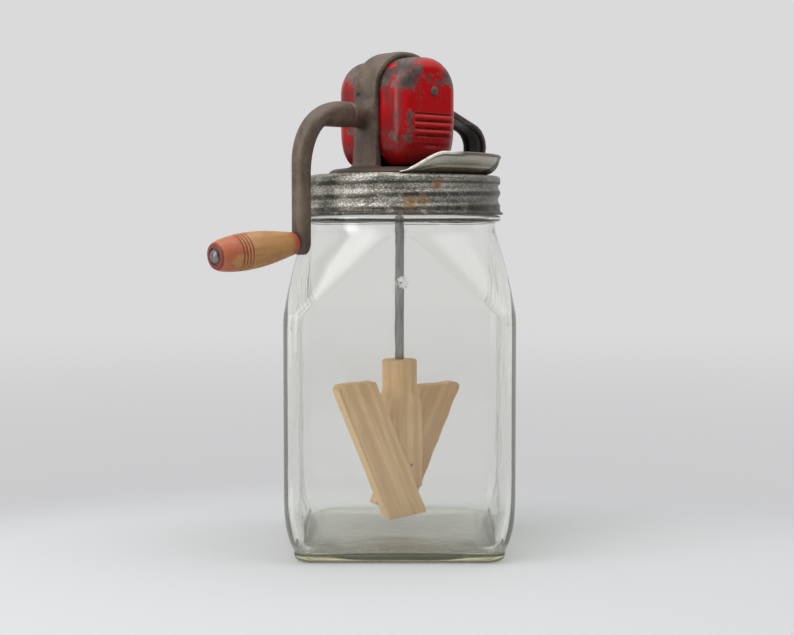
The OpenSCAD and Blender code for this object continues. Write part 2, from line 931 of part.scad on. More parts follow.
// Bevel gear blank with its teeth, the tip of its cone at the origin and its axis along +Z
module bevel_teeth(teeth, cone, high, low, thick, back, core_r, start) {
    pitch_z = gear_module * teeth / 2 / tan(cone);
    inner = (cone_len - tooth_face) / cone_len;
    back_z = pitch_z + back;
    root_r = gear_module * teeth / 2 - low * cos(cone);
    front_z = inner * (pitch_z + low * sin(cone));
    small = tooth_ring(teeth, cone, thick, low, high, inner, start);
    large = tooth_ring(teeth, cone, thick, low, high, 1, start);
    n = 8 * teeth;
    polyhedron(
        points = concat(
            small,
            large,
            blank_ring(teeth, core_r, front_z, start),
            blank_ring(teeth, root_r - 1, back_z, start),
            blank_ring(teeth, core_r, back_z, start)
        ),
        faces = concat(
            tube_faces(2, n),
            fan_faces(teeth, 0, 2 * n, false),
            fan_faces(teeth, n, 2 * n + teeth, true),
            [for (f = tube_faces(2, teeth)) [for (k = f) k + 2 * n + teeth]],
            [
                for (i = [0 : teeth - 1])
                    let (
                        next = (i + 1) % teeth,
                        a = 2 * n + 2 * teeth + i,
                        b = 2 * n + 2 * teeth + next,
                        c = 2 * n + next,
                        d = 2 * n + i
                    )
                    each [[a, d, c], [a, c, b]]
            ]
        ),
        convexity = 8
    );
}

gear_thick = gear_module * (PI / 2 - 2 * tooth_shift * tan(pressure_angle)) - backlash;
pinion_thick = gear_module * (PI / 2 + 2 * tooth_shift * tan(pressure_angle)) - backlash;

module at_crossing() { translate([0, 0, shaft_z]) children(); }

module drive_gear() {
    color(iron_c)
        at_crossing()
            rotate([0, -90, 0])
                difference() {
                    union() {
                        bevel_teeth(
                            gear_teeth, gear_cone, short_addendum, long_addendum + tooth_bottom_gap,
                            gear_thick, gear_back, shaft_d / 2 - 1, 180 + 180 / gear_teeth
                        );
                        translate([0, 0, pinion_pitch_r + 1])
                            cylinder(d = gear_hub_d, h = gear_hub_end - pinion_pitch_r - 1);
                    }
                    cylinder(d = shaft_d + 2 * fixed_gap, h = 60);
                    translate([0, 0, drive_pin_at]) along_x()
                        cylinder(d = drive_pin_d + 2 * fixed_gap, h = 2 * gear_hub_d, center = true);
                }
}

drive_pin_at = gear_hub_end - 4.5;

module drive_gear_pin() {
    color(steel_c)
        translate([-drive_pin_at, 0, shaft_z]) cylinder(d = drive_pin_d, h = gear_hub_d + 1, center = true);
}

pinion_pin_at = gear_pitch_r + pinion_back - 1.8;

module pinion() {
    color(iron_c)
        at_crossing()
            rotate([180, 0, 0])
                difference() {
                    union() {
                        bevel_teeth(
                            pinion_teeth, 90 - gear_cone, long_addendum, short_addendum + tooth_bottom_gap,
                            pinion_thick, pinion_rim, rod_d / 2 - 1, 180
                        );
                        translate([0, 0, gear_pitch_r + 1])
                            cylinder(d = pinion_hub_d, h = pinion_back - 1);
                    }
                    cylinder(d = rod_d + 2 * fixed_gap, h = 60);
                    translate([0, 0, pinion_pin_at]) along_y()
                        cylinder(d = pinion_pin_d + 2 * fixed_gap, h = 30, center = true);
                }
}

module pinion_pin() {
    color(steel_c)
        translate([0, 0, shaft_z - pinion_pin_at])
            along_y() cylinder(d = pinion_pin_d, h = pinion_hub_d, center = true);
}

// Crank

// Rounded section of the arm between a point on its outside and one on its inside
function arm_ring(outer, inner, half_w) = let (mid = (outer + inner) / 2, reach = (outer - inner) / 2)
    [
        for (i = [0 : arm_points - 1])
            let (
                a = 360 * i / arm_points,
                c = sign(cos(a)) * pow(abs(cos(a)), arm_square),
                s = sign(sin(a)) * pow(abs(sin(a)), arm_square) * half_w
            )
            [mid[0] + c * reach[0], s, mid[1] + c * reach[1]]
    ];

function arm_share(s) = s * s * (3 - 2 * s);
function arm_level(z, half_t, half_w) = arm_ring([arm_x - half_t, z], [arm_x + half_t, z], half_w);

module crank_arm() {
    turn_x = arm_x + arm_bend_r;
    turn_z = shaft_z - arm_bend_r;
    inner_x = arm_x + arm_t / 2 + arm_inner_run;
    inner_z = shaft_z - arm_root_half - arm_inner_drop;
    bend = [
        for (k = [0 : arm_bend_rings - 1])
            let (
                s = k / (arm_bend_rings - 1),
                w = 90 * s,
                r = arm_bend_r + lerp(arm_root_half, arm_t / 2, arm_share(s))
            )
            arm_ring(
                [turn_x - r * sin(w), turn_z + r * cos(w)],
                [inner_x - arm_inner_run * sin(w), inner_z + arm_inner_drop * cos(w)],
                lerp(arm_root_half, arm_w / 2, arm_share(0.9 * s))
            )
    ];
    tip = [
        for (u = [0, 0.5, 0.8, 0.96])
            let (round = sqrt(1 - u * u))
            arm_level(grip_z - u * arm_end_r, arm_t / 2 * lerp(0.6, 1, round), arm_w / 2 * round)
    ];
    color(iron_c)
        difference() {
            tube(concat(
                [
                    arm_ring(
                        [arm_start_x, shaft_z + arm_root_half],
                        [arm_start_x, shaft_z - arm_root_half],
                        arm_root_half
                    )
                ],
                bend,
                [arm_level(lerp(inner_z, grip_z, 0.4), arm_t / 2, arm_w / 2)],
                tip
            ));
            translate([arm_start_x - arm_socket, 0, shaft_z])
                along_x() cylinder(d = shaft_d + 2 * fixed_gap, h = arm_socket + 1);
            translate([arm_start_x - arm_socket / 2, 0, shaft_z])
                cylinder(d = drive_pin_d + 2 * fixed_gap, h = 4 * arm_root_half, center = true);
            at_grip() translate([0, 0, -arm_t])
                cylinder(d = grip_pin_d + 2 * fixed_gap, h = 2 * arm_t);
        }
}

module crank_shaft() {
    start = arm_start_x - arm_socket + 0.5;
    color(steel_c)
        difference() {
            translate([start, 0, shaft_z]) along_x() cylinder(d = shaft_d, h = far_bore_x - face_gap - start);
            for (x = [arm_start_x - arm_socket / 2, -drive_pin_at])
                translate([x, 0, shaft_z])
                    cylinder(d = drive_pin_d + 2 * fixed_gap, h = 2 * shaft_d, center = true);
        }
}

module crank_pin() {
    color(steel_c)
        translate([arm_start_x - arm_socket / 2, 0, shaft_z])
            cylinder(d = drive_pin_d, h = 2 * arm_root_half - 1, center = true);
}

// Places a piece on the grip's axis, which runs outward from the arm
module at_grip() { translate([arm_x, 0, grip_z]) rotate([0, -90 - grip_droop, 0]) children(); }

// Radius of the grip at a share of its length from its inner end
function grip_radius(s) = s < grip_peak
    ? lerp(grip_root_d / 2, grip_d / 2, sin(90 * s / grip_peak))
    : lerp(grip_end_d / 2, grip_d / 2, pow(cos(90 * (s - grip_peak) / (1 - grip_peak)), 0.6));

module handle_grip() {
    steps = 24;
    round_end = 1.5;
    profile = [
        for (k = [0 : steps])
            let (s = k / steps) [grip_radius(s), round_end + s * (grip_len - 2 * round_end)]
    ];
    color(wood_c)
        at_grip() translate([0, 0, grip_start])
            difference() {
                rotate_extrude()
                    polygon(concat(
                        [[0, 0], [grip_root_d / 2 - 0.8, 0]],
                        profile,
                        [[grip_end_d / 2 - 0.8, grip_len], [0, grip_len]]
                    ));
                translate([0, 0, -1]) cylinder(d = grip_pin_d + 2 * run_gap, h = grip_len + 2);
                translate([0, 0, grip_len - grip_recess]) cylinder(d = grip_recess_d, h = grip_recess + 1);
                for (k = [0 : groove_count - 1])
                    let (
                        at = grip_len - groove_first - k * groove_pitch,
                        r = grip_radius((at - round_end) / (grip_len - 2 * round_end))
                    )
                    translate([0, 0, at])
                        rotate_extrude() translate([r + groove_depth, 0]) circle(2 * groove_depth, $fn = 24);
            }
}

grip_washer_at = grip_end - grip_recess + face_gap / 2;
grip_head_at = grip_washer_at + grip_washer_t;
grip_pin_start = 0.4 - arm_t / 2;

module grip_pin() {
    color(steel_c)
        at_grip() {
            translate([0, 0, grip_pin_start])
                cylinder(d = grip_pin_d, h = grip_head_at - grip_pin_start);
            translate([0, 0, grip_head_at]) dome(grip_head_d, grip_head_h);
        }
}

module grip_washer() {
    color(steel_c)
        at_grip() translate([0, 0, grip_washer_at])
            difference() {
                cylinder(d = grip_recess_d - 2 * face_gap, h = grip_washer_t);
                translate([0, 0, -1]) cylinder(d = grip_pin_d + 2 * fixed_gap, h = grip_washer_t + 2);
            }
}

// Dasher

module dasher_rod() {
    color(steel_c)
        difference() {
            translate([0, 0, rod_end_z + 0.3]) cylinder(d = rod_d, h = rod_top_z - rod_end_z - 0.3);
            translate([0, 0, shaft_z - pinion_pin_at])
                along_y() cylinder(d = pinion_pin_d + 2 * fixed_gap, h = 30, center = true);
            translate([0, 0, hub_pin_z]) rotate([0, 0, dasher_turn])
                along_x() cylinder(d = hub_pin_d + 2 * fixed_gap, h = 30, center = true);
        }
}

module hub_pin() {
    color(steel_c)
        translate([0, 0, hub_pin_z]) rotate([0, 0, dasher_turn])
            along_x() cylinder(d = hub_pin_d, h = hub_w - 1, center = true);
}

// Runs the nails of one paddle in from the far side of the hub
module at_nails(places) {
    for (p = places)
        translate([-p[0], hub_w / 2, hub_z + p[1]]) rotate([90, 0, 0]) children();
}

module all_nails(length, d) {
    at_nails(front_nails) cylinder(d = d, h = length);
    rotate([0, 0, 180]) at_nails(rear_nails) cylinder(d = d, h = length);
}

module dasher_hub() {
    color(maple_c)
        rotate([0, 0, dasher_turn])
            difference() {
                union() {
                    translate([0, 0, hub_z]) linear_extrude(hub_block_h)
                        offset(r = hub_corner) square(hub_w - 2 * hub_corner, center = true);
                    translate([0, 0, hub_z]) cylinder(d = hub_w, h = hub_top_z - hub_z);
                }
                translate([0, 0, rod_end_z]) cylinder(d = rod_d + 2 * fixed_gap, h = hub_top_z);
                translate([0, 0, hub_pin_z])
                    along_x() cylinder(d = hub_pin_d + 2 * fixed_gap, h = 2 * hub_w, center = true);
                all_nails(2 * hub_w, nail_d + 2 * fixed_gap);
            }
}

// Rounds the corner p between its neighbours a and b, starting at a reach from it
function soft_corner(p, a, b, reach) = let (
        first = p + reach * (a - p) / norm(a - p),
        last = p + reach * (b - p) / norm(b - p)
    )
    [for (s = [0 : 0.2 : 1]) (1 - s) * (1 - s) * first + 2 * s * (1 - s) * p + s * s * last];

// Face of a paddle, with both ends cut at an angle and its outer top corner well rounded
module paddle_face(length, cut) {
    w = paddle_w / 2;
    l = length / 2;
    low_in = [w, -l - w * tan(low_cut)];
    top_in = [w, l - w * tan(cut)];
    top_out = [-w, l + w * tan(cut)];
    low_out = [-w, -l + w * tan(low_cut)];
    polygon(concat(
        soft_corner(low_in, low_out, top_in, paddle_edge),
        soft_corner(top_in, low_in, top_out, paddle_edge),
        soft_corner(top_out, top_in, low_out, paddle_round),
        soft_corner(low_out, top_out, low_in, 2 * paddle_edge)
    ));
}

// Board that stands up and is bevelled along its outer edges
module paddle_board(length, cut) {
    w = paddle_w / 2;
    intersection() {
        rotate([90, 0, 0]) linear_extrude(paddle_t) paddle_face(length, cut);
        linear_extrude(2 * length, center = true)
            polygon([
                [-w, 0], [w, 0], [w, paddle_bevel - paddle_t], [w - paddle_bevel, -paddle_t],
                [paddle_bevel - w, -paddle_t], [-w, paddle_bevel - paddle_t]
            ]);
    }
}

module paddle(length, side, rise, lean, cut, nails) {
    difference() {
        translate([-side, -hub_w / 2, hub_z + rise]) rotate([0, -lean, 0]) paddle_board(length, cut);
        at_nails(nails) cylinder(d = nail_d + 2 * fixed_gap, h = hub_w + nail_bite + 0.4);
    }
}

module front_paddle() {
    color(maple_c)
        rotate([0, 0, dasher_turn])
            paddle(front_len, front_side, front_rise, front_lean, front_cut, front_nails);
}

module rear_paddle() {
    color(maple_c)
        rotate([0, 0, dasher_turn + 180])
            paddle(rear_len, rear_side, rear_rise, rear_lean, rear_cut, rear_nails);
}

module paddle_nails() {
    color(steel_c) rotate([0, 0, dasher_turn]) all_nails(hub_w + nail_bite, nail_d);
}

jar();
lid_gasket();
screw_lid();
pour_lip();
gear_frame();
frame_screws();
front_gear_cover();
rear_gear_cover();
cover_bolt();
cover_nut();
crank_arm();
crank_shaft();
crank_pin();
drive_gear();
drive_gear_pin();
grip_pin();
grip_washer();
handle_grip();
pinion();
pinion_pin();
thrust_washer();
dasher_rod();
hub_pin();
dasher_hub();
front_paddle();
rear_paddle();
paddle_nails();
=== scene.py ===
import math

import bmesh
import bpy
import numpy as np
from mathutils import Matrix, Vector
from mathutils.geometry import delaunay_2d_cdt


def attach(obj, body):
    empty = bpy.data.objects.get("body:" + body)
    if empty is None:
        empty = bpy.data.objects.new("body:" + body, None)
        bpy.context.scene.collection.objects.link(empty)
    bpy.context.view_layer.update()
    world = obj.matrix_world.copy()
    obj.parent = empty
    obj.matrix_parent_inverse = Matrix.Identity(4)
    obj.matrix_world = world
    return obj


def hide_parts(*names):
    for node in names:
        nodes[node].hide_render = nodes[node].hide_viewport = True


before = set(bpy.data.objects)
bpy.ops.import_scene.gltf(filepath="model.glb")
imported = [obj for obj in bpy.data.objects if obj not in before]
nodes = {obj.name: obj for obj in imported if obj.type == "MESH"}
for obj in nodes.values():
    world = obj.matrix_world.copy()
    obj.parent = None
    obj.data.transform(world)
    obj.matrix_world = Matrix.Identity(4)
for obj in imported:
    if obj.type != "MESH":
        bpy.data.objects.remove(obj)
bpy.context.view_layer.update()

# The jar is pressed clear glass: a square body on a thick foot, drawn in to a round neck with a
# moulded screw thread. It is turned under the lid, so that one flat side faces the front.
MM = 0.001
jar_turn = math.radians(-42)
jar_half, jar_corner, wall = 75.5, 10.0, 4.6
foot_half, foot_top, foot_h, heel_h = 65.5, 69.5, 6.0, 42.0
side_top, shoulder_h, neck_z = 155.0, 62.0, 217.0
neck_r, collar_r, mouth_r = 66.2, 65.8, 61.6
thread_pitch, thread_depth, thread_z = 9.0, 1.5, 243.45
floor_t, floor_bulge, push_up = 14.0, 0.5, 4.0
floor_half = foot_top - 5
bead_z, bead_h, bead_out = 222.4, 5.0, 3.7
thread_low, thread_high, thread_fade = 228.1, 249.0, 2.5
square_points = 96
square_angle = (np.arange(square_points) + 0.5) * (2 * math.pi / square_points)


def lerp(a, b, s):
    """Straight line from a at s = 0 to b at s = 1."""
    return a + (b - a) * s


def ease(s):
    """Smooth step of a share that is first kept between 0 and 1."""
    s = np.clip(s, 0, 1)
    return s * s * (3 - 2 * s)


def new_piece(name, points, faces, crease=40):
    """Object from points in millimetres, with outward faces and smooth shading up to a crease angle."""
    mesh = bpy.data.meshes.new(name)
    mesh.from_pydata((np.asarray(points, float).reshape(-1, 3) * MM).tolist(), [], faces)
    form = bmesh.new()
    form.from_mesh(mesh)
    bmesh.ops.recalc_face_normals(form, faces=form.faces)
    form.to_mesh(mesh)
    form.free()
    mesh.shade_smooth()
    mesh.set_sharp_from_angle(angle=math.radians(crease))
    piece = bpy.data.objects.new(name, mesh)
    bpy.context.scene.collection.objects.link(piece)
    return piece


def surface(name, points, close_row=True, close_column=False, caps=False, crease=40):
    """Quads between neighbouring points of a grid; rows and columns may close on themselves."""
    points = np.asarray(points, float)
    rows, cols = points.shape[:2]
    index = np.arange(rows * cols).reshape(rows, cols)
    ends = [index[0].tolist(), index[-1].tolist()] if caps else []
    if close_row:
        index = np.concatenate([index, index[:, :1]], axis=1)
    if close_column:
        index = np.concatenate([index, index[:1]], axis=0)
    quads = np.stack([index[:-1, :-1], index[:-1, 1:], index[1:, 1:], index[1:, :-1]], -1)
    return new_piece(name, points, quads.reshape(-1, 4).tolist() + ends, crease)


def place(piece, body, slot, finish, *replaced):
    """Gives a piece its finish and lets it ride on a body in place of CAD nodes; its slot is not used."""
    piece.data.materials.append(finish)
    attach(piece, body)
    for node in replaced:
        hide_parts(node)


def turned(points, angle):
    """Points turned about the upright axis."""
    c, s = math.cos(angle), math.sin(angle)
    x, y, z = np.moveaxis(np.asarray(points, float), -1, 0)
    return np.stack([c * x - s * y, s * x + c * y, z], -1)


def rounded_square(half, corner, z):
    """Rows on squares with round corners: the middle of each corner plus its radius at each angle."""
    side_x, side_y = np.sign(np.cos(square_angle)), np.sign(np.sin(square_angle))
    half, corner, z = (np.atleast_1d(np.asarray(v, float))[:, None] for v in (half, corner, z))
    x = side_x * (half - corner) + corner * np.cos(square_angle)
    y = side_y * (half - corner) + corner * np.sin(square_angle)
    return np.stack([x, y, z + 0 * x], -1)


def thread_wave(z, az):
    """Height of the screw thread between 0 and 1: a cosine that climbs one pitch in a turn."""
    return 0.5 + 0.5 * np.cos(2 * math.pi * (z - thread_z) / thread_pitch - az)


def jar_shoulder(s, neck, side, corner, top):
    """Shoulder rows: the half width falls with s to the power 1.6 while the corners open to a circle."""
    half = neck + (side - neck) * (1 - s ** 1.6)
    radius = lerp(corner, half, np.clip((s - 0.12) / 0.88, 0, 1))
    return rounded_square(half, radius, top + s * shoulder_h)


def jar_heel(s, low, side, corner, z, height):
    """Heel rows: the half width runs out along a cubic that ends upright."""
    half = lerp(low, side, 1 - (1 - s) ** 3)
    return rounded_square(half, 0 * s + corner, z + s * height)


def floor_rise(rows):
    """Height of the inside floor over its edge: nearly level, then falling steeply into the corners."""
    spread = np.minimum(1.75, (rows[..., 0] ** 2 + rows[..., 1] ** 2) / floor_half ** 2)
    return floor_bulge * (1 - spread ** 5)


def circles(radius, z):
    """Rows that are full circles."""
    return rounded_square(radius, radius, z)


t = np.linspace(0.03, 0.98, 16)
under = rounded_square(foot_half * t, jar_corner * t, push_up * (1 - ease((t - 0.3) / 0.66)))
u = np.linspace(0.05, math.pi / 2, 10)
foot_out = foot_half - 0.6 + (foot_top - foot_half + 0.6) * np.sin(u) ** 0.9
foot = rounded_square(foot_out, 0 * u + jar_corner, foot_h * (1 - np.cos(u)))
s = np.linspace(0.0, 1, 26)
heel = jar_heel(s, foot_top - 0.15, jar_half, jar_corner, foot_h + 0.8, heel_h)
z = np.linspace(foot_h + heel_h + 4, side_top, 8)
sides = rounded_square(0 * z + jar_half, 0 * z + jar_corner, z)
shoulder = jar_shoulder(np.linspace(0.03, 1, 42), collar_r, jar_half, jar_corner, side_top)
u = np.linspace(0, 1, 12)
bead = circles(collar_r + 0.1 + bead_out * (1 - (2 * u - 1) ** 4), bead_z + bead_h * u)
z = np.linspace(thread_low, thread_high, 66)[:, None]
strength = ease(np.minimum(z - thread_low, thread_high - z) / thread_fade)
r = neck_r + thread_depth * strength * thread_wave(z, square_angle + jar_turn)
thread = np.stack([r * np.cos(square_angle), r * np.sin(square_angle), z + 0 * square_angle], -1)
mouth = circles([65.7, 65.1, 64.2, 63.0, 62.1, 61.7], [250.2, 250.75, 251, 251, 250.7, 250.0])
z = np.linspace(248, neck_z + 3, 5)
throat = circles(0 * z + mouth_r, z)
s = np.linspace(0.97, 0.03, 42)
inner_shoulder = jar_shoulder(s, mouth_r, jar_half - wall, jar_corner - wall / 2, side_top - 1)
z = np.linspace(side_top - 3, floor_t + heel_h - 5, 8)
inner_sides = rounded_square(0 * z + jar_half - wall, 0 * z + jar_corner - wall / 2, z)
s = np.linspace(1, 0, 26)
inner_heel = jar_heel(s, floor_half, jar_half - wall, jar_corner - wall / 2, floor_t + 1, heel_h - 8)
inner_heel[..., 2] += ((1 - s) ** 2)[:, None] * floor_rise(inner_heel)
t = np.linspace(1, 0.03, 28)
pan = rounded_square((floor_half - 1) * t, (jar_corner - wall / 2) * t, 0 * t + floor_t)
pan[..., 2] += floor_rise(pan)
jar_rows = np.concatenate([
    under, foot, heel, sides, shoulder, bead, thread, mouth, throat,
    inner_shoulder, inner_sides, inner_heel, pan,
])
jar = surface("jar_glass", turned(jar_rows, jar_turn), caps=True, crease=70)


def new_node(near, kind):
    """New node of a kind in the tree that a socket or another node belongs to."""
    return near.id_data.nodes.new(kind)


def wire(value, socket):
    """Links an output to an input, or sets a plain value on it."""
    if isinstance(value, bpy.types.NodeSocket):
        socket.id_data.links.new(value, socket)
    elif socket.type == "RGBA":
        socket.default_value = (*value, 1)
    else:
        socket.default_value = value


def fill(node, inputs):
    """Links or sets several inputs of a node and returns its outputs."""
    for label, value in inputs.items():
        wire(value, node.inputs[label])
    return node.outputs


def calc(operation, a, b=0.0):
    """One step of arithmetic on one or two values, at least one of them an output."""
    node = new_node(a if isinstance(a, bpy.types.NodeSocket) else b, "ShaderNodeMath")
    node.operation = operation
    return fill(node, {0: a, 1: b})[0]


def times(first, *others):
    """Product of two or more values."""
    for value in others:
        first = calc("MULTIPLY", first, value)
    return first


def plus(first, *others):
    """Sum of two or more values."""
    for value in others:
        first = calc("ADD", first, value)
    return first


def less(a, b):
    """Difference of two values."""
    return calc("SUBTRACT", a, b)


def noise(vector, scale, detail=4.0, rough=0.55, output=0):
    """Fractal noise from 0 to 1 at a number of lumps to the metre; output 1 is a colour of three of it."""
    node = new_node(vector, "ShaderNodeTexNoise")
    return fill(node, {"Vector": vector, "Scale": scale, "Detail": detail, "Roughness": rough})[output]


def rise(value, low, high):
    """Smooth step of a value from 0 at low to 1 at high."""
    node = new_node(value, "ShaderNodeMapRange")
    node.interpolation_type = "SMOOTHSTEP"
    return fill(node, {"Value": value, "From Min": low, "From Max": high})[0]


def tint(mask, a, b):
    """Colour a where the mask is 0 and b where it is 1."""
    node = new_node(mask, "ShaderNodeMix")
    node.data_type = "RGBA"
    return fill(node, {0: mask, 6: a, 7: b})[2]


def coat(under, over, mask, share):
    """Colour laid over another, as far as a share of the mask lets it through."""
    return tint(times(mask, share), under, over)


def mapped(vector, scale=(1, 1, 1), turn=(0, 0, 0), shift=(0, 0, 0)):
    """A pattern's own space: the vector scaled, turned and shifted."""
    node = new_node(vector, "ShaderNodeMapping")
    return fill(node, {"Vector": vector, "Scale": scale, "Rotation": turn, "Location": shift})[0]


def split(vector):
    """The three parts of a vector."""
    return fill(new_node(vector, "ShaderNodeSeparateXYZ"), {0: vector})


def reach(vector, point):
    """Distance in metres from a point in millimetres."""
    node = new_node(vector, "ShaderNodeVectorMath")
    node.operation = "DISTANCE"
    return fill(node, {0: vector, 1: [v * MM for v in point]})["Value"]


def spots(where, places):
    """Largest of several soft spots, each (point in millimetres, radius in millimetres)."""
    mask = 0.0
    for point, radius in places:
        near = rise(reach(where, point), radius * MM, 0.25 * radius * MM)
        mask = calc("MAXIMUM", near, mask)
    return mask


def bump(shader, height, strength, distance):
    """Fine relief on a shader's normal."""
    node = new_node(shader, "ShaderNodeBump")
    relief = fill(node, {"Strength": strength, "Distance": distance, "Height": height})
    wire(relief[0], shader.inputs["Normal"])


def mix_shaders(mask, a, b, output="Material Output"):
    """Shows shader a where the mask is 0 and shader b where it is 1."""
    both = fill(new_node(a, "ShaderNodeMixShader"), {0: mask, 1: a.outputs[0], 2: b.outputs[0]})
    wire(both[0], a.id_data.nodes[output].inputs["Surface"])


def new_finish(name, fixed):
    """Material, its shader with fixed values, and the coordinates of the object that wears it."""
    material = bpy.data.materials.new(name)
    material.use_nodes = True
    shader = material.node_tree.nodes["Principled BSDF"]
    fill(shader, fixed)
    return material, shader, new_node(shader, "ShaderNodeTexCoord").outputs["Object"]


glass_values = {"Base Color": (0.985, 0.99, 0.98), "Roughness": 0.0, "IOR": 1.5, "Transmission Weight": 1.0}
glass, shader, where = new_finish("pressed_glass", glass_values)
x, y, z = split(mapped(where, turn=(0, 0, -jar_turn)))
across = calc("MAXIMUM", calc("ABSOLUTE", x), calc("ABSOLUTE", y))
on_floor = times(rise(across, 0.0665, 0.0645), rise(z, 0.005, 0.007), rise(z, 0.019, 0.0155))
stipple = times(noise(where, 330, 4, 0.75), on_floor, 8.0)
flaw_mask = spots(where, [((-49.2, -57.3, 184.5), 5.6)])
flaw_edge = rise(noise(where, 330, 3), 0.44, 0.54)
flaw = times(flaw_mask, flaw_edge, less(noise(where, 620, 3), 0.5), 7.0)
waves = times(noise(where, 26, 2), 0.8)
bump(shader, plus(waves, stipple, flaw), 0.5, 0.0012)
clear = new_node(where, "ShaderNodeBsdfTransparent")
rays = new_node(where, "ShaderNodeLightPath").outputs
# Painted shade: rays caught inside the wall leave through a dark grey clear shader, which darkens the glass
# edges like the dark room seen through them.
in_wall = calc("MAXIMUM", rise(z, 0.03, 0.04), rise(across, 0.0655, 0.067))
caught = times(calc("GREATER_THAN", rays["Glossy Depth"], 2.5), in_wall)
wire(tint(caught, (0.93, 0.94, 0.92), (0.34, 0.345, 0.335)), clear.inputs["Color"])
mix_shaders(calc("MAXIMUM", rays["Is Shadow Ray"], caught), shader, clear)
depth = fill(new_node(where, "ShaderNodeVolumeAbsorption"), {"Color": (0.925, 0.918, 0.82), "Density": 30})
wire(depth[0], glass.node_tree.nodes["Material Output"].inputs["Volume"])
place(jar, "jar", "glass", glass, "jar")

# The sealing ring is cut from rubber sheet and lies on the mouth of the jar under the lid.
# It is dark and matt, with a little dust in its surface.


def dress(finish, *names):
    """Gives CAD nodes that keep their shape a better finish."""
    for name in names:
        for slot in nodes[name].material_slots:
            slot.material = finish


rubber, shader, where = new_finish("ring_rubber", {"Roughness": 0.8})
dust = rise(noise(where, 240, 5), 0.4, 0.75)
wire(tint(dust, (0.035, 0.033, 0.03), (0.085, 0.08, 0.072)), shader.inputs["Base Color"])
bump(shader, noise(where, 1500, 3), 0.3, 0.0004)
dress(rubber, "lid_gasket")

# The screw lid is one pressing of tinplate: a skirt with a rolled thread and a beaded rim, and a raised
# middle with a strainer behind the pouring lip. The tin is grey, with dark crests and a few rust spots.
lid_rim, lid_t, lid_crest = 253.8, 0.8, 68.3
lid_out, plate_r, plate_top = 69.1, 58.3, 254.8
roll_low, roll_high = 230.9, 249.4
rim_r, rim_z, rim_bead_r, crown_in, crown_drop = 70.15, 228.4, 0.85, 3.2, 2.2
around = np.linspace(0, 2 * math.pi, 288, endpoint=False)


def lathe(radius, z, az=around):
    """Rows around the upright axis, from radii and heights that may change along a row."""
    radius, z = np.broadcast_arrays(*(np.asarray(v, float).reshape(len(v), -1) for v in (radius, z)))
    flat = radius + 0 * az
    return np.stack([flat * np.cos(az), flat * np.sin(az), z + 0 * az], -1)


def lid_thread(z, skin):
    """Rolled thread: the crest radius less the depth where the glass thread is low, faded at both ends."""
    z = z[:, None]
    strength = ease(np.minimum(z - roll_low, roll_high - z) / thread_fade)
    return lathe(lid_crest + skin - thread_depth * strength * (1 - thread_wave(z, around)), z)


u = np.radians(np.linspace(-120, 80, 12))
rim_bead = lathe(rim_r + rim_bead_r * np.cos(u), rim_z + rim_bead_r * np.sin(u))
rim_neck = lathe([69.7, 69.35, 69.15], [229.5, 230.0, 230.5])
z = np.linspace(roll_low, roll_high, 62)
u = np.linspace(0, math.pi / 2, 12)
crown = lathe(lid_out - crown_in * (1 - np.cos(u)), lid_rim - crown_drop * (1 - np.sin(u)))
step_up = lathe([60.2, 59.3, 59.0, 58.8, 58.3], [253.82, 253.95, 254.4, 254.7, 254.8])
inside = lathe([58.3, 58.6, 60, 65.7, 67.4, 68.3], [254.0, 253.1, 253.0, 253.0, 252.3, 250.8])
hem = lathe([68.4, 68.7, 69.3], [230.2, 229.4, 228.6])
lid_rows = np.concatenate([
    rim_bead, rim_neck, lid_thread(z, lid_t), crown, step_up, inside, lid_thread(z[::-1], 0), hem,
])
lid_skirt = surface("lid_skirt", lid_rows, close_column=True)


def holed_plate(name, rings, low, high):
    """Flat plate in the first circle, with a hole at each later one; circles are (x, y, radius)."""
    loops = []
    for cx, cy, radius in rings:
        a = np.linspace(0, 2 * math.pi, 200 if radius > 10 else 28, endpoint=False)
        loops.append(np.stack([cx + radius * np.cos(a), cy + radius * np.sin(a)], -1))
    starts = np.cumsum([0] + [len(loop) for loop in loops])
    rounds = [first + np.arange(len(loop)) for first, loop in zip(starts, loops)]
    edges = np.concatenate([np.stack([k, np.roll(k, -1)], -1) for k in rounds]).tolist()
    flat = list(map(Vector, np.concatenate(loops)))
    flat, _, faces, _, _, _ = delaunay_2d_cdt(flat, edges, [], 0, 1e-5)
    flat, faces = np.array(flat), np.array(faces)
    middle = flat[faces].mean(1)
    keep = np.hypot(*middle.T) < rings[0][2]
    for cx, cy, radius in rings[1:]:
        keep &= np.hypot(middle[:, 0] - cx, middle[:, 1] - cy) > radius
    faces = faces[keep]
    count = len(flat)
    sides = np.concatenate([faces[:, [0, 1]], faces[:, [1, 2]], faces[:, [2, 0]]])
    key = np.sort(sides, axis=1) @ np.array([count, 1])
    _, first, hits = np.unique(key, return_index=True, return_counts=True)
    border = sides[first[hits == 1]]
    walls = np.stack([border[:, 0], border[:, 1], border[:, 1] + count, border[:, 0] + count], -1)
    points = np.concatenate([np.c_[flat, np.full(count, high)], np.c_[flat, np.full(count, low)]])
    return new_piece(name, points, faces.tolist() + (faces[:, ::-1] + count).tolist() + walls.tolist(), 30)


lip_turn, strainer_r, strainer_step, strainer_hole, middle_hole = -73.0, 52.75, 11, 2.25, 12
strainer_az = np.radians(lip_turn + strainer_step * np.arange(-4, 5))
strainer = [(strainer_r * math.cos(a), strainer_r * math.sin(a), strainer_hole) for a in strainer_az]
plate_rings = [(0, 0, plate_r), (0, 0, middle_hole)] + strainer
lid_plate = holed_plate("lid_plate", plate_rings, plate_top - lid_t, plate_top)


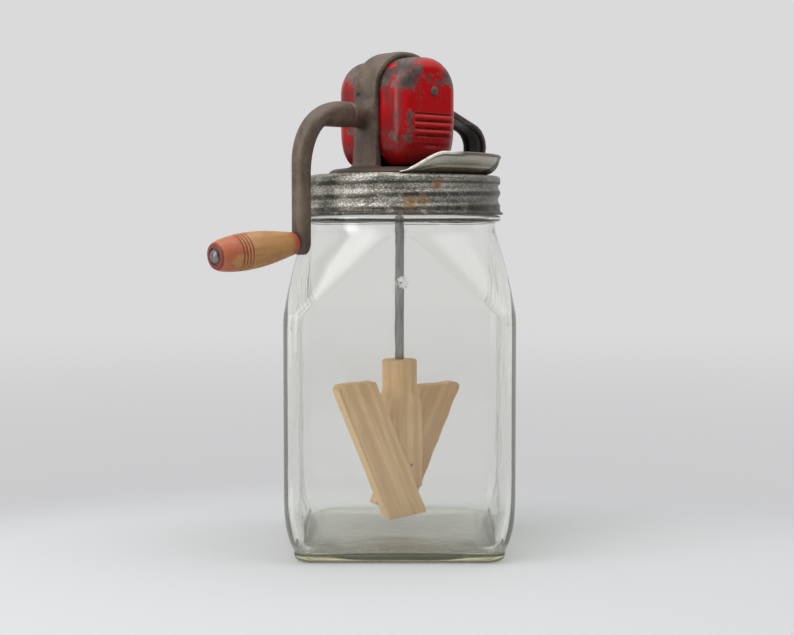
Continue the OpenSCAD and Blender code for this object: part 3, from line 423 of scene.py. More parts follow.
def effect(name, outputs):
    """Empty node group for a pattern, with a vector and a size to go in and named values to come out."""
    group = bpy.data.node_groups.new(name, "ShaderNodeTree")
    group.interface.new_socket(name="Vector", in_out="INPUT", socket_type="NodeSocketVector")
    group.interface.new_socket(name="Size", in_out="INPUT", socket_type="NodeSocketFloat")
    for label in outputs:
        group.interface.new_socket(name=label, in_out="OUTPUT", socket_type="NodeSocketFloat")
    return group, group.nodes.new("NodeGroupInput").outputs, group.nodes.new("NodeGroupOutput").inputs


def use(group, vector, size):
    """Places a node group at a vector and a size and returns its outputs."""
    node = new_node(vector, "ShaderNodeGroup")
    node.node_tree = group
    return fill(node, {"Vector": vector, "Size": size})


worn, ins, outs = effect("worn_metal", ["Blotch", "Speck", "Grit"])
wide = noise(ins["Vector"], ins["Size"], 7, 0.62)
fine = noise(ins["Vector"], times(ins["Size"], 11), 4, 0.65)
wire(rise(wide, 0.34, 0.68), outs["Blotch"])
speck = plus(fine, times(wide, 0.35))
wire(rise(speck, 0.66, 0.78), outs["Speck"])
wire(plus(fine, times(wide, 0.5)), outs["Grit"])


def new_metal(name, space, size, metallic=0.0):
    """Finish with worn metal in it: a pattern of a size, in a space stretched by three factors."""
    material, shader, where = new_finish(name, {"Metallic": metallic})
    return material, shader, where, use(worn, mapped(where, space), size)


def metal_skin(shader, colour, metal, rough, spread, relief, depth):
    """Ends a metal: its colour, a roughness that spreads with its blotches, and the relief of its grit."""
    fill(shader, {"Base Color": colour, "Roughness": plus(rough, times(metal["Blotch"], spread))})
    bump(shader, metal["Grit"], relief, depth)


tin, shader, where, metal = new_metal("old_tin", (1, 1, 1.8), 70.0, 0.55)
colour = tint(metal["Blotch"], (0.16, 0.15, 0.122), (0.36, 0.345, 0.3))
x, y, z = split(where)
# Painted light: the lid is painted lighter on the side towards the front left, where the lamps light it,
# with painted shade on the far side; its bright specks are painted brighter on the lit side.
toward_light = plus(times(x, -12.9), times(y, -6.6))
lit_side = rise(toward_light, 0.3, 0.95)
colour = coat(colour, (0.085, 0.08, 0.062), less(1, lit_side), 0.55)
lit_speck_share = plus(0.25, times(lit_side, 0.65))
colour = tint(times(metal["Speck"], lit_speck_share), colour, (0.78, 0.75, 0.67))
radius = calc("SQRT", plus(times(x, x), times(y, y)))
# The thread crests are made darker in patches.
crest = times(rise(radius, 0.0683, 0.0690), rise(z, 0.2502, 0.2486))
dark_patches = times(crest, rise(noise(where, 120, 4), 0.2, 0.5))
colour = coat(colour, (0.035, 0.029, 0.022), dark_patches, 0.8)
rust_at = [
    ((-40.8, -54.5, 235.3), 6.5), ((-33.8, -59.4, 236.7), 5.5), ((-24.8, -63.6, 246.6), 5),
    ((55, -42, 240), 6),
]
rust = times(spots(where, rust_at), rise(noise(where, 420, 4), 0.3, 0.5))
colour = coat(colour, (0.31, 0.15, 0.045), rust, 0.9)
metal_skin(shader, colour, metal, 0.34, 0.2, 0.25, 0.0005)
place(lid_skirt, "head", "tin", tin, "screw_lid")
place(lid_plate, "head", "tin", tin)

# The pouring lip is bent from the same tinplate and soldered to the lid in front of the strainer.
# Its upper edge is rolled over into a hem, brown with age and worn bright on the rising slope, with a
# painted highlight there too.
lip_span, lip_foot_r, lip_reach, lip_tab, lip_end = 118.0, 58.5, 10.2, 2.0, 26.0
lip_left_h, lip_right_h, lip_end_share, hem_half, hem_back = 13.3, 11.8, 0.03, 1.2, 0.4
a = np.linspace(0, lip_span, 190)[:, None]
lip_h = lerp(lip_left_h, lip_right_h, a / lip_span)
lip_rise = lerp(lip_end_share, 1, ease(np.minimum(a, lip_span - a) / lip_end))
last = np.arccos(1 - lip_rise)
up = np.linspace(0, 1, 26)
u = last * up
out_r, out_z = lip_foot_r + lip_reach * np.sin(u), lip_h * (1 - np.cos(u))
in_r, in_z = out_r - lid_t * np.sin(u), out_z + lid_t * np.cos(u)
hem_r, hem_z = (out_r[:, -1:] + in_r[:, -1:]) / 2, (out_z[:, -1:] + in_z[:, -1:]) / 2
along_r, along_z = np.cos(last), np.sin(last)
swing = np.radians(np.linspace(140, -140, 18))
hem_size = hem_half * np.minimum(1, 4 * lip_rise)
roll_r = hem_r + hem_size * (along_r * np.cos(swing) - along_z * np.sin(swing)) - hem_back * along_r
roll_z = hem_z + hem_size * (along_z * np.cos(swing) + along_r * np.sin(swing)) - hem_back * along_z
tab_r = np.full((len(a), 2), lip_foot_r - lip_tab)
tab_z = np.array([[0.0, lid_t]]) + 0 * a
lip_r = np.concatenate([tab_r, in_r[:, :-1], roll_r, out_r[:, -2::-1]], axis=1)
lip_z = np.concatenate([tab_z, in_z[:, :-1], roll_z, out_z[:, -2::-1]], axis=1)
lip_up = np.concatenate([0 * tab_z, 0 * a + up[:-1], 1.05 + 0 * roll_r, 0 * a + up[-2::-1]], axis=1)
lip_az = np.radians(lip_turn - lip_span / 2 + a)
lip_points = np.stack([lip_r * np.cos(lip_az), lip_r * np.sin(lip_az), plate_top + lip_z], -1)
pour_lip = surface("pouring_lip", lip_points, caps=True, crease=60)


def keep_value(piece, name, values, kind="FLOAT", part="value"):
    """Stores a number or a vector for each point of a piece, for its finish to read."""
    layer = piece.data.attributes.new(name, kind, "POINT")
    layer.data.foreach_set(part, np.ascontiguousarray(values, np.float32).ravel())


def read_value(near, name, output="Fac"):
    """The stored number or vector at a point."""
    node = new_node(near, "ShaderNodeAttribute")
    node.attribute_name = name
    return node.outputs[output]


keep_value(pour_lip, "up", lip_up)
keep_value(pour_lip, "along", a / lip_span + 0 * lip_up)
lip_tin, shader, where, metal = new_metal("lip_tin", (1, 1, 2.2), 55.0)
up, along = read_value(where, "up"), read_value(where, "along")
colour = tint(metal["Blotch"], (0.14, 0.125, 0.08), (0.37, 0.355, 0.26))
# Painted highlight: the upper part of the lip's face is painted lighter.
colour = coat(colour, (0.66, 0.64, 0.54), rise(up, 0.55, 0.9), 0.6)
seam = times(rise(up, 0.44, 0.5), rise(up, 0.6, 0.53))
colour = coat(colour, (0.68, 0.66, 0.56), seam, 0.5)
# Painted shade: the foot of the lip, where it meets the lid, is painted darker and browner.
colour = coat(colour, (0.2, 0.15, 0.08), rise(up, 0.5, 0.4), 0.8)
colour = coat(colour, (0.6, 0.57, 0.47), metal["Speck"], 0.4)
# Painted shade: the right-hand part of the lip is painted near black in patches, for the shadowed underside
# of the flare.
end = less(along, times(up, 0.2))
end_shade = times(rise(noise(where, 150, 4), 0.05, 0.45), rise(end, 0.43, 0.49))
colour = tint(end_shade, colour, (0.05, 0.036, 0.018))
hem_mask = rise(up, 0.93, 0.97)
# Painted shadow: a dark band just under the hem on the left part of the lip.
hem_shadow = times(rise(up, 0.86, 0.9), rise(along, 0.36, 0.3))
colour = coat(colour, (0.07, 0.055, 0.04), hem_shadow, 0.7)
colour = coat(colour, (0.085, 0.062, 0.042), hem_mask, 0.85)
# The hem on the rising slope is painted bright: worn tin, with a painted highlight on it.
bare = times(rise(along, 0.33, 0.24), hem_mask, rise(noise(where, 300, 3), 0.2, 0.45))
colour = tint(bare, colour, (0.75, 0.72, 0.65))
wire(times(less(1, hem_mask), 0.5), shader.inputs["Metallic"])
metal_skin(shader, colour, metal, 0.36, 0.2, 0.2, 0.0005)
place(pour_lip, "head", "tin", lip_tin, "pour_lip")

# The gear frame is one iron casting: foot flange, arch, bearings and the loop to hold it by.
# It is cast in sand, so its edges and inside corners are soft, and its dark coat is worn and scratched.
voxel, soft_passes, edge_passes, boss_passes = 0.7, 9, 40, 60
shaft_z, boss_r, boss_end, boss_root = 293.8, 9.0, -46.0, -27.0
arch_edge_y, arch_low_z, loop_x = 7.0, 268.0, 26.0
casting = bpy.data.objects.new("frame_casting", nodes["gear_frame"].data.copy())
bpy.context.scene.collection.objects.link(casting)
form = bmesh.new()
form.from_mesh(casting.data)
bmesh.ops.remove_doubles(form, verts=form.verts, dist=1e-6)
form.to_mesh(casting.data)
form.free()
remesh = casting.modifiers.new("sand", "REMESH")
remesh.mode = "VOXEL"
remesh.voxel_size = voxel * MM
bpy.context.view_layer.update()
cast_mesh = bpy.data.meshes.new_from_object(casting.evaluated_get(bpy.context.evaluated_depsgraph_get()))
casting.modifiers.clear()
casting.data = cast_mesh
cast_mesh.materials.clear()
cast_mesh.shade_smooth()


def relaxed(points, edges, weight, passes):
    """Moves every point towards the mean of its neighbours by its weight, a number of times."""
    first, second = np.concatenate([edges, edges[:, ::-1]]).T
    count = np.bincount(first, minlength=len(points))[:, None]
    for _ in range(passes):
        total = np.stack([np.bincount(first, points[second, k], len(points)) for k in range(3)], -1)
        points = points + weight * (total / count - points)
    return points


points = np.empty(3 * len(cast_mesh.vertices))
cast_mesh.vertices.foreach_get("co", points)
points = points.reshape(-1, 3)
edges = np.empty(2 * len(cast_mesh.edges), int)
cast_mesh.edges.foreach_get("vertices", edges)
edges = edges.reshape(-1, 2)
points = relaxed(points, edges, 0.5, soft_passes)
x, y, z = points.T / MM
on_edge = ease((np.abs(y) - arch_edge_y) / 3) * ease((z - arch_low_z) / 6) * ease((loop_x - x) / 4)
points = relaxed(points, edges, 0.5 * on_edge[:, None], edge_passes)
off_axis = np.hypot(y, z - shaft_z)
near_boss = ease((boss_r + 9 - off_axis) / 6) * ease((x - boss_end) / 5) * ease((boss_root - x) / 3)
points = relaxed(points, edges, 0.5 * near_boss[:, None], boss_passes)
cast_mesh.vertices.foreach_set("co", points.ravel())
cast_mesh.update()

iron, shader, where, metal = new_metal("worn_iron", (1, 1, 1), 45.0, 0.25)
colour = tint(metal["Blotch"], (0.078, 0.055, 0.04), (0.17, 0.12, 0.087))
colour = coat(colour, (0.2, 0.16, 0.125), metal["Speck"], 0.3)
lines = noise(mapped(where, (1, 1, 0.12), (0.5, 0.9, 0.2)), 520, 3)
colour = coat(colour, (0.21, 0.17, 0.135), rise(lines, 0.62, 0.72), 0.22)
x, y, z = split(where)
# The inside of the loop is painted near black: its dark paint, and painted shade.
from_loop = reach(mapped(where, (1, 0, 1)), (57, 0, 276))
loop_paint_and_shade = times(rise(from_loop, 0.0155, 0.0145), rise(x, 0.03, 0.034))
colour = coat(colour, (0.006, 0.005, 0.004), loop_paint_and_shade, 0.93)
oil = spots(mapped(where, (1, 0.45, 1)), [((-32.5, 2.4, 308.4), 1.6)])
colour = tint(oil, colour, (0.006, 0.005, 0.004))
on_foot = times(rise(z, 0.262, 0.258), rise(x, -0.075, -0.07))
colour = coat(colour, (0.03, 0.016, 0.009), on_foot, 0.6)
metal_skin(shader, colour, metal, 0.42, 0.18, 0.35, 0.0007)
place(casting, "head", "cast_iron", iron, "gear_frame")

# Screws, washers, pins and nails are plain drawn steel, dulled and a little brown.
# They keep their CAD shapes.
steel, shader, where, metal = new_metal("dull_steel", (1, 1, 1), 160.0, 0.85)
colour = tint(metal["Blotch"], (0.16, 0.155, 0.15), (0.34, 0.335, 0.325))
colour = coat(colour, (0.11, 0.08, 0.055), metal["Speck"], 0.5)
metal_skin(shader, colour, metal, 0.3, 0.2, 0.15, 0.0003)
dress(
    steel, "frame_screws", "thrust_washer", "cover_nut", "crank_shaft", "crank_pin", "drive_gear_pin",
    "grip_washer", "pinion_pin", "hub_pin", "paddle_nails",
)

# The bevel gears are iron castings that run in grease between the covers.
# They keep their CAD teeth.
dress(iron, "drive_gear", "pinion")

# Each gear cover is a deep pressing of sheet steel with three ribs across its face, held by one bolt
# through both. The red enamel is glossy, and worn to grey metal over the top and along the corners.
arch_x, frame_z, frame_d = -2.5, 254.8, 24.0
cover_half, cover_top, cover_low, cover_depth, cover_t = 26.1, 78.1, 5.6, 22.5, 1.2
top_r, round_in, round_out, low_share = 23.1, 9.0, 10.0, 1.4
rib_low, rib_pitch, rib_count, rib_half, rib_shift = 27.45, 4.9, 3, 16.5, 1.5
rib_h, rib_w, crease_h, crease_w, step_h, step_w = 0.9, 1.35, 0.8, 0.5, 0.9, 1.1
rib_z = frame_z + rib_low - rib_pitch / 2
cover_points = 320


def cover_outline(inset):
    """Outline drawn in by an inset: round top corners, tall low ones, then evenly spaced points."""
    half, high = cover_half - inset, cover_top - inset
    low, low_w, low_h = cover_low + low_share * inset, 12 + 0.35 * inset, min(26, 16 + 4 * inset)
    upper_r = max(3, top_r - inset)
    arc = np.linspace(0, math.pi / 2, 40)
    corners = [
        (half - upper_r, high - upper_r, upper_r, upper_r, 0),
        (half - low_w, low + low_h, low_w, low_h, 1),
        (low_w - half, low + low_h, low_w, low_h, 2),
        (upper_r - half, high - upper_r, upper_r, upper_r, 3),
    ]
    line = np.concatenate([
        np.stack([cx + rx * np.sin(arc + q * math.pi / 2), cz + rz * np.cos(arc + q * math.pi / 2)], -1)
        for cx, cz, rx, rz, q in corners
    ])
    line = np.concatenate([line, line[:1]])
    run = np.concatenate([[0], np.cumsum(np.hypot(*np.diff(line, axis=0).T))])
    at = np.linspace(0, run[-1], cover_points, endpoint=False)
    return np.stack([np.interp(at, run, line[:, 0]), np.interp(at, run, line[:, 1])], -1)


def rib_relief(x, z):
    """Height of the pressed ribs: round ridges with a fine crease above and below each, and a low step."""
    relief = 0 * x
    ends = ease((rib_half + 1.5 + x - rib_shift) / 2.5)
    for k in range(rib_count):
        relief = relief + rib_h * np.exp(-(((z - rib_low - k * rib_pitch) / rib_w) ** 2))
    for k in range(rib_count + 1):
        relief = relief - crease_h * np.exp(-(((z - rib_low - (k - 0.5) * rib_pitch) / crease_w) ** 2))
    relief = relief - step_h * np.exp(-(((z - rib_low + 1.8 * rib_pitch) / step_w) ** 2))
    return relief * ends


def gear_cover(name, side):
    """Pressed shell from its open edge up the wall, over the rounding and in to the middle of its face."""
    wall_y = np.linspace(0, cover_depth - round_out - 0.5, 6)
    rows = [np.c_[cover_outline(0), np.full(cover_points, y)] for y in wall_y]
    for w in np.radians(np.linspace(0, 90, 18)):
        line = cover_outline(round_in * (1 - math.cos(w)))
        relief = ease(w / math.radians(45) - 1) * rib_relief(line[:, 0], line[:, 1])
        rows.append(np.c_[line, cover_depth - round_out * (1 - math.sin(w)) + relief])
    face = cover_outline(round_in)
    middle = np.array([0, 42.0])
    for share in np.linspace(0.985, 0.02, 66):
        line = middle + (face - middle) * share
        rows.append(np.c_[line, cover_depth + rib_relief(line[:, 0], line[:, 1])])
    rows = np.array(rows)
    x, z, y = np.moveaxis(rows, -1, 0)
    points = np.stack([arch_x + x, side * (frame_d / 2 + y), frame_z + z], -1)
    piece = surface(name, points, crease=70)
    form = bmesh.new()
    form.from_mesh(piece.data)
    gap = [edge for edge in form.edges if edge.is_boundary and abs(edge.verts[0].co.y) > 0.03]
    bmesh.ops.holes_fill(form, edges=gap)
    bmesh.ops.recalc_face_normals(form, faces=form.faces)
    if sum(f.normal.y * f.calc_area() for f in form.faces) * side < 0:
        bmesh.ops.reverse_faces(form, faces=form.faces)
    form.to_mesh(piece.data)
    form.free()
    sheet = piece.modifiers.new("sheet", "SOLIDIFY")
    sheet.thickness = cover_t * MM
    sheet.offset = -1
    return piece


def line_step(value, start, pitch):
    """Place on a row of lines, in steps of a pitch, and how far that is from the nearest line."""
    step = calc("DIVIDE", less(value, start), pitch)
    return step, calc("ABSOLUTE", less(step, calc("ROUND", step)))


front_cover = gear_cover("front_cover", -1)
rear_cover = gear_cover("rear_cover", 1)
enamel, shader, where, metal = new_metal("red_enamel", (1, 1, 1), 70.0)
x, y, z = split(where)
lost = [
    ((-21, -26, 324), 19), ((-23, -32, 315.5), 11), ((-15, -33, 321.5), 9), ((-25, -15, 320), 13),
    ((-12, -19, 331), 17), ((5, -20, 333), 18), ((11.5, -34, 322), 8), ((13.5, -34, 317.5), 5),
    ((18, -27, 321), 9), ((-3.5, -34.5, 318.6), 5), ((5, -34.5, 317.8), 5), ((11, -34, 317), 6),
    ((16, -33, 317), 7), ((19, -30, 318), 8),
    ((-21.3, -34, 291), 5.5), ((-21, -34, 284.5), 5.5), ((-21.8, -33, 276.5), 6), ((-28.5, -25.3, 281), 5),
    ((-28.3, -27, 277.5), 5), ((-28.5, -25.3, 291), 4), ((-28.6, -14, 283), 3.5), ((-6, -34.5, 317.5), 4),
    ((-18, 24, 330), 24), ((-26, 18, 320), 11), ((8, 30, 331), 16), ((-28.5, 18, 285), 6),
    ((20, 26, 318), 11),
    ((-5, 33, 266), 8), ((22, 20, 290), 6), ((-20, 34, 300), 5),
]
kept = [
    ((-5, -33, 325.5), 9), ((4, -33, 324.5), 7), ((-26.3, -22.9, 319.4), 5), ((-20, -16, 327.4), 6),
    ((-28.3, 21.9, 312), 7),
]
pull = 0.022
pulled = new_node(where, "ShaderNodeVectorMath")
pulled.operation = "MULTIPLY_ADD"
centred = mapped(where, shift=(-pull / 2, -pull / 2, -pull / 2))
rough_place = fill(pulled, {0: noise(where, 150, 6, 0.5, 1), 1: (pull, pull, pull), 2: centred})["Vector"]
haze = less(spots(rough_place, lost), times(spots(rough_place, kept), 0.7))
chip = noise(mapped(where, (1, 1, 0.6)), 560, 9, 0.8)
ragged_edge = times(less(chip, 0.5), 4.2)
bare = rise(plus(haze, ragged_edge), 0.42, 0.72)
streaks = noise(mapped(where, (1, 1, 0.3)), 110, 5)
rubbed = times(rise(streaks, 0.4, 0.75), 0.4)
red = tint(rubbed, (0.5, 0.0015, 0.004), (0.32, 0.004, 0.006))
left_wall = rise(x, -0.0245, -0.0275)
dull = times(left_wall, rise(streaks, 0.3, 0.6))
red = coat(red, (0.12, 0.02, 0.02), dull, 0.75)
# Painted shade: the lower part of each cover is painted darker.
red = coat(red, (0.12, 0.001, 0.002), rise(z, 0.288, 0.264), 0.7)
red = coat(red, (0.2, 0.05, 0.045), haze, 0.5)
# Painted shade: the creases between the ribs on the face are painted near black.
rib_step, off_crease = line_step(z, rib_z * MM, rib_pitch * MM)
on_ribs = times(rise(rib_step, -0.3, -0.2), rise(rib_step, rib_count + 0.3, rib_count + 0.2))
on_face = times(rise(x, -0.0185, -0.016), rise(calc("ABSOLUTE", y), 0.0325, 0.034))
crease = times(rise(off_crease, 0.17, 0.06), on_face, on_ribs)
red = coat(red, (0.03, 0.003, 0.004), crease, 0.8)
base = tint(metal["Blotch"], (0.07, 0.055, 0.046), (0.19, 0.155, 0.138))
fill(shader, {
    "Base Color": tint(bare, red, base), "Metallic": times(bare, 0.45), "Specular IOR Level": 0.36,
    "Roughness": plus(0.2, times(rubbed, 0.35), times(bare, 0.25)),
})
film = less(times(metal["Grit"], 0.12), times(bare, 0.35))
bump(shader, film, 0.5, 0.0005)
place(front_cover, "head", "red_enamel", enamel, "front_gear_cover")
place(rear_cover, "head", "red_enamel", enamel, "rear_gear_cover")


def spun(name, profile, origin, axis, count=72, crease=35):
    """A turned piece: a closed outline of (distance along the axis, radius) carried round the axis."""
    axis = np.array(axis, float) / np.linalg.norm(axis)
    side = np.cross(axis, (0.0, 1.0, 0.1))
    side /= np.linalg.norm(side)
    other = np.cross(axis, side)
    a = np.linspace(0, 2 * math.pi, count, endpoint=False)
    ring = np.cos(a)[:, None] * side + np.sin(a)[:, None] * other
    at, radius = np.array(profile, float).T
    points = np.array(origin) + at[:, None, None] * axis + radius[:, None, None] * ring
    return surface(name, points, close_column=profile[0][1] > 0.2, caps=profile[0][1] <= 0.2, crease=crease)


def domed(head_r, height, start, steps=8):
    """Outline of a domed head from its rim to its middle, at a start along the axis."""
    a = np.linspace(0, math.pi / 2, steps)
    return [(start + height * math.sin(v), max(0.05, head_r * math.cos(v))) for v in a]


bolt_z, bolt_y = 309.8, 34.5
bolt_end = -2 * bolt_y - 3.4
bolt_line = [(bolt_end, 0.05), (bolt_end, 1.7), (bolt_end + 0.4, 2.0), (-0.05, 2.0), (0, 3.2)]
cover_bolt = spun("cover_bolt_head", bolt_line + domed(3.2, 1.7, 0), (0, -bolt_y, bolt_z), (0, -1, 0), 48)
place(cover_bolt, "head", "steel", iron, "cover_bolt")

# The crank arm is an iron casting, round where it takes the shaft and flat-sided below the bend.
# A cross pin fixes it, and its lower end carries the grip.
grip_z, arm_x = 209.8, -86.0
arm_start, root_half, arm_t, arm_w = -47.3, 8.5, 11.0, 12.6
bend_r, inner_run, inner_drop, tip_r = 33.0, 14.0, 32.0, 8.5
bend_steps = 44


def arm_rows(outer, inner, half_w, count=64, square=0.8):
    """Rounded sections between points on the outside and the inside of the arm, squared off a little."""
    a = np.linspace(0, 2 * math.pi, count, endpoint=False)
    c = np.sign(np.cos(a)) * np.abs(np.cos(a)) ** square
    side = np.sign(np.sin(a)) * np.abs(np.sin(a)) ** square
    middle, half = (outer + inner) / 2, (outer - inner) / 2
    x = middle[:, :1] + half[:, :1] * c
    z = middle[:, 1:] + half[:, 1:] * c
    return np.stack([x, half_w[:, None] * side, z], -1)


w = np.linspace(0, math.pi / 2, bend_steps)
share = ease(np.linspace(0, 1, bend_steps))
r = bend_r + lerp(root_half, arm_t / 2, share)
outer = np.stack([arm_x + bend_r - r * np.sin(w), shaft_z - bend_r + r * np.cos(w)], -1)
inner_x, inner_z = arm_x + arm_t / 2 + inner_run, shaft_z - root_half - inner_drop
inner = np.stack([inner_x - inner_run * np.sin(w), inner_z + inner_drop * np.cos(w)], -1)
bend = arm_rows(outer, inner, lerp(root_half, arm_w / 2, ease(0.9 * np.linspace(0, 1, bend_steps))))
root = np.array([7.4, 8.2, 8.5])
root_x = arm_start - np.array([0, 0.3, 1.0])
start = arm_rows(np.stack([root_x, shaft_z + root], -1), np.stack([root_x, shaft_z - root], -1), root)
z = np.linspace(lerp(inner_z, grip_z, 0.3), grip_z + 1, 12)
u = np.sin(np.linspace(0, math.radians(86), 16))
full = np.sqrt(1 - u * u)
low_z = np.concatenate([z, grip_z - u * tip_r])
half_t = np.concatenate([0 * z + arm_t / 2, arm_t / 2 * lerp(0.55, 1, full)])
half_w = np.concatenate([0 * z + arm_w / 2, arm_w / 2 * full])
lower = arm_rows(np.stack([arm_x - half_t, low_z], -1), np.stack([arm_x + half_t, low_z], -1), half_w)
crank_arm = surface("crank_arm_casting", np.concatenate([start, bend, lower]), caps=True, crease=50)
place(crank_arm, "crank", "cast_iron", iron, "crank_arm")

# The grip is turned from a hardwood and turns freely on a riveted steel pin.
# Its ends and the four fine grooves still show red stain, and the bare wood has gone tan.
droop = math.radians(7.2)
grip_axis = np.array([-math.cos(droop), 0, -math.sin(droop)])
grip_start, grip_len, grip_peak = 6.3, 63.0, 0.62
grip_root_r, grip_mid_r, grip_end_r = 7.3, 12.0, 8.7
groove_first, groove_pitch, groove_count, groove_depth = 15.1, 2.3, 4, 0.55
grip_points = 120
s = np.linspace(0, 1, 300)
swell = np.sin(np.minimum(s / grip_peak, 1) * math.pi / 2)
taper = np.cos(np.clip((s - grip_peak) / (1 - grip_peak), 0, 1) * math.pi / 2) ** 0.6
grip_r = np.where(s < grip_peak, lerp(grip_root_r, grip_mid_r, swell), lerp(grip_end_r, grip_mid_r, taper))
along = 1.5 + s * (grip_len - 3)
for groove in range(groove_count):
    groove_at = grip_len - groove_first - groove_pitch * groove
    grip_r = grip_r - groove_depth * np.exp(-(((along - groove_at) / 0.42) ** 2))
outline = [(0, 6.5), (0.4, 6.9)] + list(zip(along, grip_r)) + [(grip_len - 0.4, 8.3), (grip_len, 7.7)]
outline += [(grip_len, 5.6), (grip_len - 1.8, 5.5), (grip_len - 1.8, 3.06), (0, 3.06)]
grip_origin = np.array([arm_x, 0, grip_z]) + grip_start * grip_axis
grip = spun("wooden_grip", outline, grip_origin, grip_axis, grip_points, 50)
keep_value(grip, "along", np.repeat([at for at, _ in outline], grip_points))

grain, ins, outs = effect("wood_lines", ["Lines", "Pores"])
long_way = mapped(ins["Vector"], (1, 1, 0.045))
bands = noise(long_way, ins["Size"], 5, 0.6)
fleck_size = times(ins["Size"], 5)
flecks = noise(mapped(ins["Vector"], (1, 1, 0.07)), fleck_size, 3, 0.6)
wire(rise(bands, 0.3, 0.72), outs["Lines"])
wire(rise(flecks, 0.56, 0.72), outs["Pores"])

grip_wood, shader, where = new_finish("grip_wood", {})
local = mapped(where, turn=(0, math.pi / 2 + droop, 0))
lines = use(grain, local, 210.0)
along = read_value(where, "along")
dark_patches = rise(noise(where, 70, 5), 0.35, 0.7)
colour = tint(lines["Lines"], (0.43, 0.2, 0.066), (0.56, 0.29, 0.1))
colour = coat(colour, (0.29, 0.15, 0.06), dark_patches, 0.35)
colour = coat(colour, (0.16, 0.08, 0.035), lines["Pores"], 0.45)
patch = noise(where, 95, 6, 0.65)
inner_red = rise(plus(along, times(patch, 6)), 11.0, 6.0)
outer_red = rise(plus(along, times(patch, 85)), 86.0, 102.0)
stain = calc("MAXIMUM", inner_red, times(outer_red, 0.7))
end_ring = rise(along, 61.2, 62.2)
last_groove = grip_len - groove_first - (groove_count - 1) * groove_pitch
from_last, off_groove = line_step(along, last_groove, groove_pitch)
here = times(rise(from_last, -0.5, -0.4), rise(from_last, 3.5, 3.4))
in_groove = times(rise(off_groove, 0.3, 0.12), here)
colour = coat(colour, (0.46, 0.052, 0.032), stain, 0.85)
colour = coat(colour, (0.17, 0.022, 0.015), end_ring, 0.9)
colour = coat(colour, (0.25, 0.03, 0.02), in_groove, 0.85)
fill(shader, {"Base Color": colour, "Roughness": plus(0.42, times(dark_patches, 0.15))})
bump(shader, less(lines["Lines"], lines["Pores"]), 0.18, 0.0004)
place(grip, "grip", "grip_wood", grip_wood, "handle_grip")
pin_r, rivet_r, rivet_h, rivet_at = 3.0, 4.6, 3.0, 68.45
pin_line = [(-5.1, 0.05), (-5.1, 2.7), (-4.8, pin_r), (rivet_at, pin_r), (rivet_at, rivet_r)]
pin_line += domed(rivet_r, rivet_h, rivet_at, 12)
grip_pin = spun("grip_rivet", pin_line, (arm_x, 0, grip_z), grip_axis, 64)
place(grip_pin, "crank", "steel", steel, "grip_pin")

# The dasher rod is drawn steel, pinned into the hub. It is smooth and dull grey,
# with fine marks along its length.
rod_low, rod_top, rod_r = 69.3, 280.05, 3.1
rod_line = [(rod_low, 0.05), (rod_low, 2.9), (rod_low + 0.3, rod_r)]
rod_line += [(rod_top - 0.35, rod_r), (rod_top, 2.8), (rod_top, 0.05)]
dasher_rod = spun("churn_rod", rod_line, (0, 0, 0), (0, 0, 1), 64)
rod_steel, shader, where, metal = new_metal("rod_steel", (1, 1, 0.12), 220.0, 0.7)
colour = tint(metal["Blotch"], (0.2, 0.202, 0.2), (0.44, 0.44, 0.43))
metal_skin(shader, colour, metal, 0.3, 0.15, 0.12, 0.0003)
place(dasher_rod, "dasher", "steel", rod_steel, "dasher_rod")

# The hub is a square maple stick with its upper end turned round, bored for the rod.
# Two slats are nailed to opposite faces, leaning apart, with both ends sawn at an angle.
dasher_turn = math.radians(-18)
hub_z, hub_block, hub_top, hub_half = 40.0, 65.0, 128.0, 12.3
hub_slope, hub_corner = 9.0, 2.5
z = np.concatenate([[0, 0.3, 0.9, 1.6, 20, 40], np.linspace(hub_block - hub_slope, hub_block, 12)])
half = hub_half - np.concatenate([[1.0, 0.45, 0.1], 0 * z[3:]])
rounding = np.clip(1 - (hub_block - z) / hub_slope, 0, 1) ** 1.5
block = rounded_square(half, lerp(hub_corner, hub_half, rounding), hub_z + z)
hub_neck_z = np.array([65.3, 65.8, 67, 75, 84, 87, 87.6, 88])
hub_neck_r = np.array([12.2, 12.05, 12.0, 12.0, 12.0, 12.0, 11.7, 11.1])
hole = circles([3.12, 3.12], [hub_top, hub_z + 29.5])
hub_rows = np.concatenate([block, circles(hub_neck_r, hub_z + hub_neck_z), hole])
dasher_hub = surface("dasher_stick", turned(hub_rows, dasher_turn), caps=True, crease=45)
keep_value(dasher_hub, "board", hub_rows * MM, "FLOAT_VECTOR", "vector")
paddle_w, paddle_t, edge_r = 27.0, 12.0, 0.7
low_cut = math.radians(14.4)


def paddle_outline(length, cut, inset, steps=9):
    """Slat seen from the front, drawn in by an inset: four corners, each rounded by a parabola."""
    w, l = paddle_w / 2, length / 2
    lean, low = w * math.tan(cut), w * math.tan(low_cut)
    corners = np.array([[w, -l - low], [w, l - lean], [-w, l + lean], [-w, -l + low]])
    reach_at = np.array([1.4, 1.4, 7.0, 1.8])
    before = np.roll(corners, 1, axis=0) - corners
    after = np.roll(corners, -1, axis=0) - corners
    before /= np.linalg.norm(before, axis=1)[:, None]
    after /= np.linalg.norm(after, axis=1)[:, None]
    inward = before + after
    sine = np.abs(before[:, 0] * after[:, 1] - before[:, 1] * after[:, 0])
    corners = corners + inset * inward / sine[:, None]
    k = np.linspace(0, 1, steps)[None, :, None]
    first = (corners + reach_at[:, None] * before)[:, None]
    last = (corners + reach_at[:, None] * after)[:, None]
    bend = (1 - k) ** 2 * first + 2 * k * (1 - k) * corners[:, None] + k * k * last
    return bend.reshape(-1, 2)


